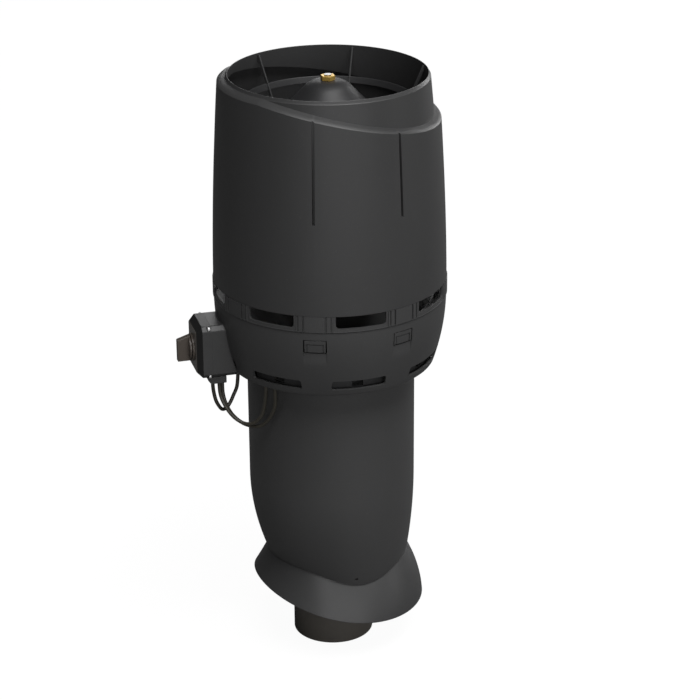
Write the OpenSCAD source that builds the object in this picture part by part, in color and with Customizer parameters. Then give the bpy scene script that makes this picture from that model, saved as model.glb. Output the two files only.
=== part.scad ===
// Roof exhaust fan on an insulated pipe.
// The duct and the foam jacket run up inside an outer pipe whose foot narrows and ends in a
// shaped edge over a flared skirt. A bowl with windows and vents sits on the pipe, and the hood
// above it lifts off with the motor and the impeller. A rotary safety switch hangs on the bowl.
// Millimetres. The z axis is the duct's axis, z = 0 is the duct's lower end, the front is -Y.

/* [Duct and outer pipe] */
// Outer radius of the air duct
duct_r = 55; // [50:0.5:58]
// Wall of the air duct
duct_wall = 2.7; // [2:0.1:4]
// Height of the fan deck above the duct's lower end
deck_z = 500; // [480:1:560]
// Outer radius of the insulated outer pipe
pipe_r = 112.5; // [108:0.5:114]
// Wall of the outer pipe
pipe_wall = 2.5; // [2:0.1:3.5]
// Mean height of the outer pipe's lower edge
foot_z = 125; // [115:1:140]
// Height over which the pipe narrows above its mean lower edge
taper_h = 120; // [90:1:150]
// How far the pipe narrows at its lower edge
foot_in = 15.8; // [8:0.2:20]
// Height of the lobes at the front and back of the pipe's lower edge
foot_lobe = 9.4; // [0:0.2:12]

/* [Skirt] */
// Mean radius of the skirt's lower edge
skirt_r = 117.6; // [112:0.2:125]
// Mean height of the skirt's lower edge
skirt_z = 72.9; // [60:0.5:80]
// How far the skirt's lower edge falls toward +X and rises toward -X
skirt_fall = 21.8; // [10:0.2:26]
// Wall of the skirt
skirt_wall = 2.5; // [1.8:0.1:3.5]

/* [Bowl] */
// Outer radius of the bowl below its window ring
bowl_r = 154.3; // [150:0.1:158]
// Radius of curvature of the bowl's side
bowl_arc = 278; // [240:1:400]
// How far the bowl hangs below the deck
bowl_drop = 84.5; // [70:0.5:95]
// Wall of the bowl and its window ring
bowl_wall = 3; // [2.4:0.1:3.4]
// How far the window ring stands out past the bowl
lip_out = 1.2; // [0.6:0.1:2]
// Height of the window ring's lower edge above the deck
lip_up = 9; // [7:0.5:12]
// Height of the window ring
ring_h = 22.2; // [18:0.2:28]
// Angle that one window spans
window_a = 24.4; // [18:0.2:28]
// Angle that one lower vent spans
vent_a = 29; // [20:0.5:32]
// Height of one lower vent
vent_h = 10.8; // [6:0.2:14]
// Angle that one latch spans
latch_a = 11.4; // [8:0.2:14]
// Height of one latch
latch_h = 18; // [12:0.5:20]

/* [Hood] */
// How far the hood's lower edge stands out past the bowl
hood_out = 0.1; // [-0.4:0.1:1]
// Height of the hood
hood_h = 275.5; // [250:0.5:300]
// How much the hood's radius falls from its lower edge to the shoulder
hood_in = 11.3; // [6:0.1:14]
// Wall of the hood
hood_wall = 3; // [2:0.1:4]
// How much smaller the mouth's rim is than the hood's lower edge, as a radius
mouth_in = 22.8; // [20:0.1:27]
// Mean drop of the slanted shoulder below the rim
shoulder_drop = 31; // [26:0.5:40]
// How far the slanted shoulder rises and falls about its mean
shoulder_rise = 27.5; // [10:0.5:30]
// Height of the shoulder's round edge
shoulder_round = 5; // [3:0.5:8]
// Width of the guide slots in the hood's side
slot_w = 3.5; // [2:0.1:5]
// Thickness of the six struts in the mouth
strut_t = 2.4; // [1.6:0.1:4]

/* [Fan] */
// How much smaller the motor can is than the mouth's rim, as a radius
can_in = 31.6; // [28:0.1:38]
// Wall of the cone and can
can_wall = 2.5; // [1.8:0.1:3.5]
// Drop of the cone's flat top below the rim
cone_drop = 10.5; // [6:0.5:16]
// Height of the motor plate above the deck
plate_up = 150; // [150:0.5:160]
// Radius of the impeller
wheel_r = 98; // [88:0.5:104]
// Radius of the impeller's eye
eye_r = 51.2; // [48:0.2:54]
// Gap between the eye and the inlet ring
eye_gap = 1.2; // [0.8:0.1:2]
// Number of impeller blades
blades = 9; // [6:1:12]
// Thickness of a blade
blade_t = 2; // [1.4:0.1:3]
// Radius of a blade's curve
blade_arc = 62; // [56:0.5:68]
// Radius of the motor shaft
shaft_r = 4; // [3:0.1:5]
// Outer radius of the motor's rotor
rotor_r = 46; // [42:0.5:50]

/* [Switch] */
// Width of the switch box along the bowl
box_w = 54; // [46:0.5:60]
// Height of the switch box
box_h = 73; // [64:0.5:80]
// Height of the switch box's centre below the deck
box_drop = 51.5; // [48:0.5:56]
// Distance of the cover's seam from the bowl's widest circle
seam_out = 13.7; // [10:0.1:18]
// Depth of the cover's straight side
cover_d = 12.5; // [8:0.5:16]
// Depth of the cover's sloped face
slope_d = 8; // [5:0.5:10]
// Wall of the box and its cover
box_wall = 2.5; // [1.8:0.1:3.5]
// Radius of the round collar under the knob
collar_r = 18.4; // [15:0.2:19]
// Height of the knob's bar
bar_h = 36; // [28:0.5:40]
// Thickness of the knob's bar
bar_t = 8.5; // [6:0.5:12]
// How far the knob stands out from its collar
bar_out = 17.5; // [12:0.5:22]
// Diameter of the cables
cable_d = 5; // [4:0.2:6]

/* [Hidden] */
$fn = 96;
// Segments of the lofted shells around the axis
N = 72;
// Gap between fixed pieces, and between the hood and what it stands on
fit = 0.25;
seat = 0.3;
// Running gap of a shaft in its bearing
run = 0.04;

// Levels
deck_t = 3.5;
lip_z = deck_z + lip_up;
ring_z = lip_z + ring_h;
bowl_z = deck_z - bowl_drop;
hood_z = ring_z + seat;
rim_z = hood_z + hood_h;
shoulder_z = rim_z - shoulder_drop;
cone_z = rim_z - cone_drop;
plate_z = deck_z + plate_up;
plate_t = 3;
flange_t = 6;
flange_z = plate_z - flange_t - 0.1;
rotor_h = 42;
rotor_z = flange_z - 2.9 - rotor_h;
disc_t = 2;
disc_z = rotor_z - disc_t - 0.2;
wheel_h = 42;
shroud_z = disc_z - wheel_h;
eye_h = 24;
lip_r = bowl_r + lip_out;
hood_r = bowl_r + hood_out;
mouth_r = hood_r - mouth_in;
can_r = mouth_r - can_in;
seam_x = bowl_r + seam_out;
taper_z = foot_z + taper_h;

// Colours
c_body = [0.21, 0.21, 0.215];
c_dark = [0.13, 0.13, 0.135];
c_duct = [0.24, 0.22, 0.2];
c_steel = [0.6, 0.61, 0.62];
c_brass = [0.8, 0.6, 0.2];
c_knob = [0.33, 0.3, 0.27];
c_cable = [0.23, 0.22, 0.19];
c_foam = [0.75, 0.75, 0.72];

// Helpers. Angle 0 is +X, the front is -90.
module turn(a) rotate([0, 0, a]) children();
module each_of(n, a0 = 0) for (i = [0:n - 1]) turn(a0 + i * 360 / n) children();
module revolve(p) rotate_extrude() polygon(p);
module sector(r1, r2, z0, z1, a)
    translate([0, 0, z0]) turn(-a / 2) rotate_extrude(angle = a) translate([r1, 0]) square([r2 - r1, z1 - z0]);
module tube(r1, r2, z0, z1) translate([0, 0, z0]) difference() {
    cylinder(r = r2, h = z1 - z0);
    translate([0, 0, -1]) cylinder(r = r1, h = z1 - z0 + 2);
}
module rod(r, z0, z1) translate([0, 0, z0]) cylinder(r = r, h = z1 - z0);
// A closed band of rings, each a list of N points, joined from each ring to the next and back
module band(rings) {
    m = len(rings);
    n = len(rings[0]);
    pts = [for (g = rings) each g];
    faces = [for (j = [0:m - 1]) for (i = [0:n - 1])
        let (a = j * n + i, b = j * n + (i + 1) % n, c = ((j + 1) % m) * n + (i + 1) % n,
             d = ((j + 1) % m) * n + i)
        each [[a, d, c], [a, c, b]]];
    polyhedron(pts, faces, convexity = 10);
}
function ang(i) = i * 360 / N;
function pol(r, t, z) = [r * cos(t), r * sin(t), z];
function unit(v) = v / norm(v);

// Outer pipe: its lower edge is lower at the front and back, and narrower toward -X
function edge_r(t) = pipe_r - foot_in + 6.6 * cos(t) + 0.8 * cos(2 * t);
function edge_z(t) = foot_z - 4.6 * cos(t)
    + foot_lobe * (cos(2 * t) + 0.37 * cos(3 * t) - 0.33 * cos(4 * t) - 0.1 * cos(5 * t));
function pipe_rad(t, u) = pipe_r - (pipe_r - edge_r(t)) * u * u;
function pipe_hgt(t, u) = taper_z - (taper_z - edge_z(t)) * u;
function pipe_ring(u, in) = [for (i = [0:N - 1]) let (t = ang(i)) pol(pipe_rad(t, u) - in, t, pipe_hgt(t, u))];
function flat_ring(r, z) = [for (i = [0:N - 1]) pol(r, ang(i), z)];
pipe_u = [0, 0.2, 0.36, 0.52, 0.66, 0.8, 0.9, 1];
pipe_top = deck_z - 0.3;
module outer_pipe() color(c_body) difference() {
    band(concat(
        [for (k = [len(pipe_u) - 1:-1:0]) pipe_ring(pipe_u[k], 0)],
        [flat_ring(pipe_r, pipe_top), flat_ring(pipe_r - pipe_wall, pipe_top)],
        [for (k = [0:len(pipe_u) - 1]) pipe_ring(pipe_u[k], pipe_wall)]));
    // Screw holes of the foot
    for (a = [-86, 94]) turn(a) translate([edge_r(a) - 20, 0, edge_z(a) + 10]) rotate([0, 90, 0])
        cylinder(r = 2.2, h = 40, $fn = 24);
}

// Skirt: a neck inside the pipe's foot and a flare down to its own slanted edge
function hem_r(t) = skirt_r + 7.8 * cos(t);
function hem_z(t) = skirt_z - skirt_fall * cos(t) + 8.6 * cos(2 * t);
function neck_r(t, u) = pipe_rad(t, u) - pipe_wall - 0.3;
function flare(t, v) = v + (0.2 + 0.3 * cos(t)) * v * (1 - v) * 1.6;
function skirt_ring(v, in) = [for (i = [0:N - 1]) let (t = ang(i), r0 = neck_r(t, 1), z0 = edge_z(t) - 0.4)
    pol(r0 + (hem_r(t) - r0) * flare(t, v) - in, t, z0 + (hem_z(t) - z0) * v - in * 0.25 * (1 - v))];
function neck_ring(u, in) = [for (i = [0:N - 1]) let (t = ang(i)) pol(neck_r(t, u) - in, t, pipe_hgt(t, u))];
skirt_v = [0, 0.1, 0.22, 0.36, 0.52, 0.68, 0.84, 1];
module skirt() color(c_body) band(concat(
    [for (k = [len(skirt_v) - 1:-1:0]) skirt_ring(skirt_v[k], 0)],
    [neck_ring(0.94, 0), neck_ring(0.88, 0), neck_ring(0.88, skirt_wall), neck_ring(0.94, skirt_wall)],
    [for (k = [0:len(skirt_v) - 1]) skirt_ring(skirt_v[k], skirt_wall)]));

// Duct: a free lower end, a stop bead, and a slimmer stretch that the foam and the deck hold
duct_top = deck_z + deck_t - 0.3;
foam_z = foot_z + 30;
free_l = foam_z - 5;
bead_h = 3;
held_r = duct_r - 1;
module duct() color(c_duct) difference() {
    union() {
        rod(duct_r, 0, free_l + 0.5);
        rod(duct_r + 1.5, free_l, free_l + bead_h);
        rod(held_r, free_l, duct_top);
    }
    translate([0, 0, -1]) cylinder(r = duct_r - duct_wall, h = duct_top + 2);
}
function foam_r(z) = let (u = max(0, (taper_z - z) / (taper_z - edge_z(180))))
    pipe_r - (pipe_r - edge_r(180)) * u * u - pipe_wall - (u > 0 ? 2.5 : 0.5);
module insulation() color(c_foam) revolve(concat(
    [[held_r + fit, deck_z - fit], [held_r + fit, foam_z]],
    [for (k = [0:5]) let (z = foam_z + (taper_z + 6 - foam_z) * k / 5) [foam_r(z), z]],
    [[foam_r(taper_z + 6), deck_z - fit]]));

// Bowl
function bowl_rad(z) = bowl_r - pow(max(0, lip_z - z), 2) / (2 * bowl_arc);
bowl_s = [for (k = [0:8]) bowl_z + (lip_z - bowl_z) * k / 8];
module bowl_band(out, in) revolve(concat(
    [for (z = bowl_s) [bowl_rad(z) + out, z]],
    [for (k = [8:-1:0]) [bowl_rad(bowl_s[k]) + in, bowl_s[k]]]));
module bowl_solid(out) revolve(concat([[0, bowl_z - 40], [bowl_rad(bowl_z) + out, bowl_z - 40]],
    [for (z = bowl_s) [bowl_rad(z) + out, z]], [[lip_r + out, lip_z], [lip_r + out, ring_z + 2], [0, ring_z + 2]]));
// Floor of the bowl round the pipe, and a baffle behind each lower vent
floor_in = 3.5;
floor_t = 2.5;
baffle_r = bowl_rad(bowl_z) - bowl_wall - 2.4;
baffle_t = 1.8;
module at_cables() for (p = [cable_end_1, cable_end_2, cable_end_3]) translate([p[0], p[1], 0]) children();
module at_latches() for (a = [-112.5, -67.5, 67.5, 112.5]) turn(a) children();
latch_z = deck_z - 20;
vent_z = bowl_z + 10.2;
tongue_up = 12;
tongue_r = hood_r - hood_wall - 0.45;
module base_bowl() color(c_body) difference() {
    union() {
        bowl_band(0, -bowl_wall);
        tube(bowl_r - bowl_wall, lip_r, lip_z, ring_z);
        // Tongues that the hood drops over
        each_of(8, 22.5) sector(tongue_r - 3, tongue_r, deck_z + deck_t + 0.5, hood_z + tongue_up, 10);
        each_of(8, 22.5) sector(tongue_r - 3, lip_r - 1, deck_z + deck_t + 0.5, lip_z + 2, 10);
        tube(pipe_r + floor_in, bowl_rad(bowl_z) - 1, bowl_z, bowl_z + floor_t);
        each_of(8, 0) sector(baffle_r - baffle_t, baffle_r, bowl_z + 1, vent_z + vent_h + 8, vent_a + 4);
        // Thicker wall behind each latch's thumb recess
        at_latches() sector(bowl_r - bowl_wall - 5, bowl_rad(latch_z) - 1, latch_z - 22, latch_z - 0.6,
            latch_a + 4);
    }
    // Windows, each in a shallow frame, and the panels of the pillars between them
    each_of(8, 0) {
        sector(bowl_r - 20, lip_r + 5, lip_z + 6.3, ring_z + 5, window_a);
        sector(bowl_r - 20, lip_r + 5, lip_z + 4.6, lip_z + 6.6, window_a - 2.4);
        sector(lip_r - 1.1, lip_r + 5, lip_z + 1.8, ring_z + 5, window_a + 2.4);
    }
    each_of(8, 22.5) for (s = [-1, 1]) {
        turn(s * 5.6) sector(lip_r - 0.9, lip_r + 5, lip_z + 1, ring_z + 5, 0.5);
        turn(s * 7) sector(lip_r - 0.9, lip_r + 5, lip_z + 1, ring_z + 5, 0.5);
    }
    // Lower vents, and the notch in the middle of each baffle
    each_of(8, 0) {
        sector(baffle_r + 0.3, bowl_r + 5, vent_z + 2, vent_z + vent_h - 2, vent_a);
        sector(baffle_r + 0.3, bowl_r + 5, vent_z, vent_z + vent_h, vent_a - 1.6);
        sector(baffle_r - 5, baffle_r + 1, vent_z + vent_h - 6.8, vent_z + vent_h + 0.4, 6.4);
    }
    at_cables() rod(cable_d / 2 + 1.8, bowl_z - 1, bowl_z + floor_t + 1);
    // Latch openings, and the thumb recess under each
    at_latches() {
        sector(bowl_r - 20, bowl_r + 5, latch_z, latch_z + latch_h, latch_a);
        sector(bowl_r - bowl_wall - 1.1, bowl_r + 5, latch_z - 21, latch_z + 1, latch_a);
    }
}
// A snap latch: a curved pad with an upside-down U groove, hung at its upper edge
module latch() color(c_body) difference() {
    intersection() {
        bowl_band(-0.3, -bowl_wall);
        sector(bowl_r - 20, bowl_r + 5, latch_z + 0.5, latch_z + latch_h - 0.5, latch_a - 0.4);
    }
    sector(bowl_r - 1.5, bowl_r + 5, latch_z + latch_h - 6.3, latch_z + latch_h - 5.5, latch_a - 2.9);
    for (s = [-1, 1]) turn(s * (latch_a / 2 - 1.6)) sector(bowl_rad(latch_z) - 1.5, bowl_r + 5, latch_z - 1,
        latch_z + latch_h - 5.5, 0.35);
}
module latch_fl() turn(-112.5) latch();
module latch_fr() turn(-67.5) latch();
module latch_bl() turn(112.5) latch();
module latch_br() turn(67.5) latch();

// Frame inside the bowl: a sleeve on the pipe, eight webs and the fan deck
sleeve_h = 54;
module base_frame() color(c_body) difference() {
    union() {
        tube(pipe_r + fit, pipe_r + fit + 3, deck_z - sleeve_h, deck_z);
        tube(held_r + fit, bowl_r - bowl_wall - 0.4, deck_z, deck_z + deck_t);
        each_of(8, 22.5) rotate([90, 0, 0]) translate([0, 0, -1.5]) linear_extrude(3) polygon(concat(
            [[pipe_r + 2, deck_z - sleeve_h], [pipe_r + 2, deck_z + 0.5]],
            [for (z = [deck_z + 0.5, deck_z - 12, deck_z - 26, deck_z - 40, deck_z - 56])
                [bowl_rad(z) - bowl_wall - 0.35 - (abs(z - deck_z + 26) < 15 ? 3 : 0), z]]));
    }
    // Cable holes of the deck
    at_cables() rod(cable_d / 2 + 1.8, deck_z - 1, deck_z + deck_t + 1);
    // The webs stop short of the latches
    at_latches() sector(bowl_r - bowl_wall - 12, bowl_r, latch_z - 24, latch_z + latch_h + 1, latch_a + 6);
}

// Inlet ring: a flange on the deck and a bell mouth up into the impeller's eye
throat_r = eye_r - eye_gap;
ring_low = deck_z + deck_t + 0.2;
throat_z = shroud_z - eye_h + 8;
module inlet_ring() color(c_dark) revolve([
    [duct_r - duct_wall, ring_low], [76, ring_low], [76, ring_low + 2.5], [duct_r + 4, ring_low + 2.5],
    [duct_r + 0.5, ring_low + 6], [throat_r + 1.6, ring_low + 16], [throat_r, ring_low + 24], [throat_r, throat_z],
    [throat_r - 2, throat_z], [throat_r - 2, ring_low + 23], [throat_r - 0.4, ring_low + 14],
    [duct_r - duct_wall, ring_low + 3]]);

// Hood: a revolved side, a slanted shoulder whose height changes around it, and a level mouth
// whose rim is chamfered over the height rim_b
rim_b = 3.2;
function side_r(z) = hood_r - hood_in * pow(max(0, z - hood_z) / (hood_h - 18), 1.6);
function neck_w(z) = mouth_r + (rim_z - z) * 0.093;
function step_z(t) = min(shoulder_z + 22, shoulder_z - shoulder_rise * cos(t + 9) + 3 * cos(2 * (t + 135)));
function side_ring(f, in) = [for (i = [0:N - 1]) let (t = ang(i), z = hood_z + (step_z(t) - hood_z) * f)
    pol(side_r(z) - in, t, z)];
function low_ring(h, in) = [for (i = [0:N - 1]) let (z = hood_z + h) pol(side_r(z) - in, ang(i), z)];
function arc_ring(q, in) = [for (i = [0:N - 1]) let (t = ang(i), z = step_z(t), a = side_r(z) - in,
    b = neck_w(z + shoulder_round) - in + 1.2)
    pol(b + (a - b) * cos(q), t, z + shoulder_round * sin(q) - in * 0.9)];
function neck_at(f, in) = [for (i = [0:N - 1]) let (t = ang(i), z0 = step_z(t) + shoulder_round - in * 0.9 + 0.6,
    z = z0 + (rim_z - rim_b - z0) * f) pol(neck_w(z) - in, t, z)];
// The neck's wall runs on below the shoulder as a drip lip
drip_d = 6.5;
drip_t = 1.6;
function drip_ring(d, in) = [for (i = [0:N - 1])
    let (t = ang(i), z = step_z(t) + shoulder_round - hood_wall * 0.9 - d) pol(neck_w(z) - in, t, z)];
low_h = [for (s = [0, 0.11, 0.24, 0.36, 0.49, 0.6]) s * hood_h];
module hood_shell() band(concat(
    [for (h = low_h) low_ring(h, 0)],
    [side_ring(0.86, 0), side_ring(0.95, 0), side_ring(1, 0)],
    [for (q = [22.5, 45, 67.5, 90]) arc_ring(q, 0)],
    [neck_at(0, 0), neck_at(0.5, 0), neck_at(1, 0),
     flat_ring(neck_w(rim_z) - 0.6, rim_z - rim_b / 2), flat_ring(neck_w(rim_z) - 1.3, rim_z - 0.6),
     flat_ring(neck_w(rim_z) - 2, rim_z), flat_ring(neck_w(rim_z) - hood_wall + 0.3, rim_z - 0.5),
     neck_at(1, hood_wall - 0.2), neck_at(0.5, hood_wall - 0.2), neck_at(0, hood_wall - 0.2),
     drip_ring(drip_d, hood_wall - 0.2), drip_ring(drip_d, hood_wall - drip_t), drip_ring(0, hood_wall - drip_t)],
    [for (q = [67.5, 45, 22.5, 0]) arc_ring(q, hood_wall)],
    [side_ring(0.86, hood_wall)],
    [for (k = [len(low_h) - 1:-1:0]) low_ring(low_h[k], hood_wall)]));
// Guide slots: upright floors in the curved side, each with a moulded channel behind it
slot_low = hood_z + hood_h * 0.44;
slot_top = rim_z - 14.5;
slot_floor = hood_r - hood_in - 0.6;
channel_low = slot_low - 5;
channel_top = step_z(-67.5) - 2.5;
module channels() intersection() {
    at_latches() translate([slot_floor - 3, -slot_w / 2 - 2.5, channel_low])
        cube([20, slot_w + 5, channel_top - channel_low]);
    revolve(concat([[0, channel_low - 1]],
        [for (k = [0:8]) let (z = channel_low - 1 + (channel_top - channel_low + 2) * k / 8) [side_r(z) - 0.8, z]],
        [[0, channel_top + 1]]));
}
module hood() color(c_body) difference() {
    union() {
        hood_shell();
        channels();
    }
    at_latches() translate([slot_floor, -slot_w / 2, slot_low]) cube([20, slot_w, slot_top - slot_low]);
}

// Six struts from the mouth's wall down to the cone, and the diffuser ring that they carry
module strut(t) rotate([90, 0, 0]) translate([0, 0, -t / 2]) linear_extrude(t) polygon([
    [mouth_r - 4.7, rim_z - 1.6], [mouth_r + 6, rim_z - 1.6], [mouth_r + 6, rim_z - 6],
    [mouth_r + 0.8, rim_z - 8], [mouth_r - 45, rim_z - 106], [mouth_r - 50.5, rim_z - 106]]);
module in_mouth() revolve([[0, rim_z - 90], [neck_w(rim_z - 14) - hood_wall - 0.05, rim_z - 90],
    [neck_w(rim_z - 14) - hood_wall - 0.05, rim_z - 14], [neck_w(rim_z) - hood_wall - 0.1, rim_z], [0, rim_z]]);
module hood_struts() color(c_dark) difference() {
    intersection() {
        each_of(6, -60) strut(strut_t);
        in_mouth();
    }
    cone_solid(fit);
    // Notches for the lower half of the ring
    intersection() {
        ring_solid(0.2);
        rod(mouth_r, ring_half - 20, ring_half + 0.2);
    }
}
ring_top_r = mouth_r - 18.6;
ring_drop = 38;
ring_half = rim_z - ring_drop - 4.4;
module ring_solid(g) translate([0, 0, rim_z - ring_drop]) revolve([
    [ring_top_r - 4 - g, -8 - g], [ring_top_r - 0.8 - g, -0.5 + g], [ring_top_r, g],
    [ring_top_r + 1.3 + g, -0.4 + g], [ring_top_r - 2 + g, -8.8 - g]]);
module diffuser_ring() color(c_body) difference() {
    ring_solid(0);
    intersection() {
        each_of(6, -60) strut(strut_t + 0.4);
        rod(mouth_r, ring_half, rim_z);
    }
}

// Cone and motor can, the tie rod and its brass nut
cone_p = can_r * [[0.15, 0], [0.195, -0.005], [0.253, -0.028], [0.29, -0.055], [0.369, -0.15], [0.472, -0.255],
    [0.61, -0.395], [0.76, -0.55], [0.9, -0.695], [0.97, -0.785], [1, -0.895]];
module cone_solid(g) revolve(concat([[0, plate_z - 1], [0, cone_z + g]],
    [for (p = cone_p) [p[0] + g, cone_z + p[1] + g * 0.5]], [[can_r + g, plate_z - 1]]));
rod_r = 4.8;
module motor_cone() color(c_dark) difference() {
    revolve(concat([[0, plate_z], [0, cone_z]], [for (p = cone_p) [p[0], cone_z + p[1]]], [[can_r, plate_z]]));
    revolve(concat([[0, plate_z - 1], [0, cone_z - can_wall]],
        [for (p = cone_p) [p[0] - can_wall * 0.75, cone_z + min(-can_wall, p[1] - can_wall * 0.75)]],
        [[can_r - can_wall, cone_z - can_r * 0.91], [can_r - can_wall, plate_z - 1]]));
    translate([0, 0, cone_z - 10]) cylinder(r = rod_r + 0.2, h = 20);
}
module cone_nut() color(c_brass) difference() {
    intersection() {
        translate([0, 0, cone_z + 0.1]) cylinder(r = 9.8, h = 8.2, $fn = 6);
        revolve([[0, cone_z], [8.9, cone_z], [10.2, cone_z + 1.2], [10.2, cone_z + 7.2], [8.7, cone_z + 8.4],
            [0, cone_z + 8.4]]);
    }
    translate([0, 0, cone_z - 1]) cylinder(r = rod_r + 0.1, h = 12);
}
module tie_rod() color(c_steel) rod(rod_r, plate_z + 0.3, cone_z + 7.6);

// Motor: plate in the can, flange, wound stator, two bearings
screw_at = 34;
module motor_plate() color(c_steel) difference() {
    rod(can_r - can_wall - fit, plate_z + 0.1, plate_z + 0.1 + plate_t);
    translate([0, 0, plate_z - 1]) cylinder(r = rod_r + 0.15, h = 10);
    each_of(4, 45) translate([screw_at, 0, plate_z - 1]) cylinder(r = 2.7, h = 10, $fn = 32);
    each_of(4, 0) translate([can_r * 0.68, 0, plate_z - 1]) cylinder(r = 9, h = 10, $fn = 48);
}
module motor_screws() color(c_steel) each_of(4, 45) translate([screw_at, 0, 0]) {
    rod(2.5, flange_z + 1, plate_z + plate_t + 0.5);
    translate([0, 0, plate_z + plate_t + 0.2]) cylinder(r = 4.4, h = 3.2, $fn = 32);
}
sleeve_r = 14;
bear_r = 11;
module motor_flange() color(c_steel) difference() {
    union() {
        rod(rotor_r + 2, flange_z, flange_z + flange_t);
        rod(sleeve_r, rotor_z + 10, flange_z + 1);
    }
    translate([0, 0, rotor_z + 5]) cylinder(r = bear_r + 0.05, h = 12);
    translate([0, 0, flange_z - 6]) cylinder(r = bear_r + 0.05, h = 12 - 2);
    rod(shaft_r + 1.5, rotor_z, flange_z + flange_t + 1);
    each_of(4, 45) translate([screw_at, 0, flange_z - 1]) cylinder(r = 2.65, h = 10, $fn = 32);
}
stator_r = rotor_r - 4;
module motor_stator() color([0.6, 0.38, 0.2]) difference() {
    tube(sleeve_r + 0.1, stator_r, rotor_z + 8, rotor_z + rotor_h - 6);
    each_of(12, 0) translate([stator_r - 16, -2.2, rotor_z]) cube([20, 4.4, rotor_h]);
}
module bearing(z) color(c_steel) tube(shaft_r + run, bear_r, z, z + 7);
module lower_bearing() bearing(rotor_z + 10);
module upper_bearing() bearing(flange_z - 6);

// Rotor bell, shaft and impeller
module motor_rotor() color(c_dark) difference() {
    rod(rotor_r, rotor_z, rotor_z + rotor_h);
    translate([0, 0, rotor_z + 2.5]) cylinder(r = rotor_r - 2.8, h = rotor_h);
    rod(shaft_r + 0.03, rotor_z - 1, rotor_z + 5);
}
module motor_shaft() color(c_steel) rod(shaft_r, disc_z - 3, flange_z + 3);
module impeller_disc() color(c_dark) difference() {
    rod(wheel_r, disc_z, disc_z + disc_t);
    rod(shaft_r + 0.05, disc_z - 1, disc_z + 5);
}
shroud_p = [[eye_r, -eye_h], [eye_r, -eye_h + 7], [eye_r + 2.6, -12.5], [eye_r + 8, -7.5], [eye_r + 19, -4],
    [wheel_r - 13.5, -2.2], [wheel_r, -1.5]];
shroud_t = 2;
// The shroud's lower side, one thickness off the line
shroud_q = [for (k = [0:6]) let (d = unit(shroud_p[min(6, k + 1)] - shroud_p[max(0, k - 1)]))
    shroud_p[k] + shroud_t * [d[1], -d[0]]];
module impeller_shroud() color(c_dark) translate([0, 0, shroud_z])
    revolve(concat(shroud_p, [for (k = [6:-1:0]) shroud_q[k]]));
blade_d = 45;
blade_in = eye_r + 5.6;
module blade() difference() {
    translate([blade_d, 0, shroud_z - eye_h]) difference() {
        cylinder(r = blade_arc, h = wheel_h + 2 * eye_h);
        translate([0, 0, -1]) cylinder(r = blade_arc - blade_t, h = wheel_h + 2 * eye_h + 2);
    }
    translate([-2 * wheel_r, -4 * wheel_r, shroud_z - eye_h - 1])
        cube([4 * wheel_r, 4 * wheel_r, wheel_h + 2 * eye_h + 2]);
}
module impeller_blades() color(c_dark) intersection() {
    each_of(blades, 0) blade();
    revolve([for (p = [[blade_in, lookup(blade_in, shroud_p)], shroud_p[3], shroud_p[4], shroud_p[5],
        [wheel_r - 1, shroud_p[6][1]]]) [p[0], shroud_z + p[1] + 0.1],
        [wheel_r - 1, disc_z - 0.05], [blade_in, disc_z - 0.05]]);
}

// Safety switch: a box on the bowl, a cover with a sloped face, a round collar and a knob
box_c = deck_z - box_drop;
face_x = seam_x + cover_d + slope_d;
module box_block(x0, x1, w, h) translate([-x1, -w / 2, box_c - h / 2]) cube([x1 - x0, w, h]);
module screw_at_corners() for (sy = [-1, 1], sz = [-1, 1])
    translate([0, sy * (box_w / 2 - 3.2), box_c + sz * (box_h / 2 - 3.2)]) children();
module switch_box() color(c_dark) difference() {
    box_block(pipe_r, seam_x, box_w, box_h);
    bowl_solid(fit);
    box_block(bowl_r + 4, seam_x + 1, box_w - 2 * box_wall, box_h - 2 * box_wall - 8);
    translate([-seam_x - 1, -box_w / 2 + 8, box_c - box_h / 2 + box_wall])
        cube([10, box_w - 16, box_h - 2 * box_wall]);
    screw_at_corners() translate([-seam_x - 1, 0, 0]) rotate([0, 90, 0]) cylinder(r = 1.6, h = 6, $fn = 24);
}
module cover_block(x1, w, h, c) translate([-x1, 0, box_c]) rotate([0, 90, 0]) linear_extrude(0.01)
    polygon([[-h / 2 + c, -w / 2], [h / 2 - c, -w / 2], [h / 2, -w / 2 + c], [h / 2, w / 2 - c],
        [h / 2 - c, w / 2], [-h / 2 + c, w / 2], [-h / 2, w / 2 - c], [-h / 2, -w / 2 + c]]);
module switch_cover() color(c_dark) difference() {
    union() {
        box_block(seam_x + 0.2, seam_x + cover_d, box_w, box_h);
        hull() {
            cover_block(seam_x + cover_d, box_w, box_h, 2);
            cover_block(face_x, box_w - 2 * slope_d, box_h - 2 * slope_d, 5);
        }
    }
    box_block(seam_x - 1, face_x - 3, box_w - 2 * slope_d - 5, box_h - 2 * slope_d - 5);
    // Corner notches that leave the cover screws open
    screw_at_corners() translate([-face_x - 1, 0, 0]) rotate([0, 90, 0]) {
        cylinder(r = 3.6, h = face_x - seam_x - 1, $fn = 32);
        cylinder(r = 1.8, h = face_x - seam_x + 4, $fn = 24);
    }
    translate([-face_x - 1, 0, box_c]) rotate([0, 90, 0]) cylinder(r = 6, h = 12, $fn = 48);
}
module cover_screws() color(c_steel) screw_at_corners() {
    translate([-seam_x - 5, 0, 0]) rotate([0, 90, 0]) cylinder(r = 3, h = 2.8, $fn = 24);
    translate([-seam_x - 2.5, 0, 0]) rotate([0, 90, 0]) cylinder(r = 1.45, h = 6, $fn = 24);
}
knob_r = 4;
module along_x(x0, x1, r) translate([-x1, 0, box_c]) rotate([0, 90, 0]) cylinder(r = r, h = x1 - x0);
module switch_collar() color(c_knob) difference() {
    union() {
        along_x(face_x + 0.1, face_x + 3, collar_r);
        along_x(face_x - 4, face_x + 1, 5.8);
    }
    along_x(face_x - 10, face_x + 10, knob_r + 0.05);
}
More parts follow.
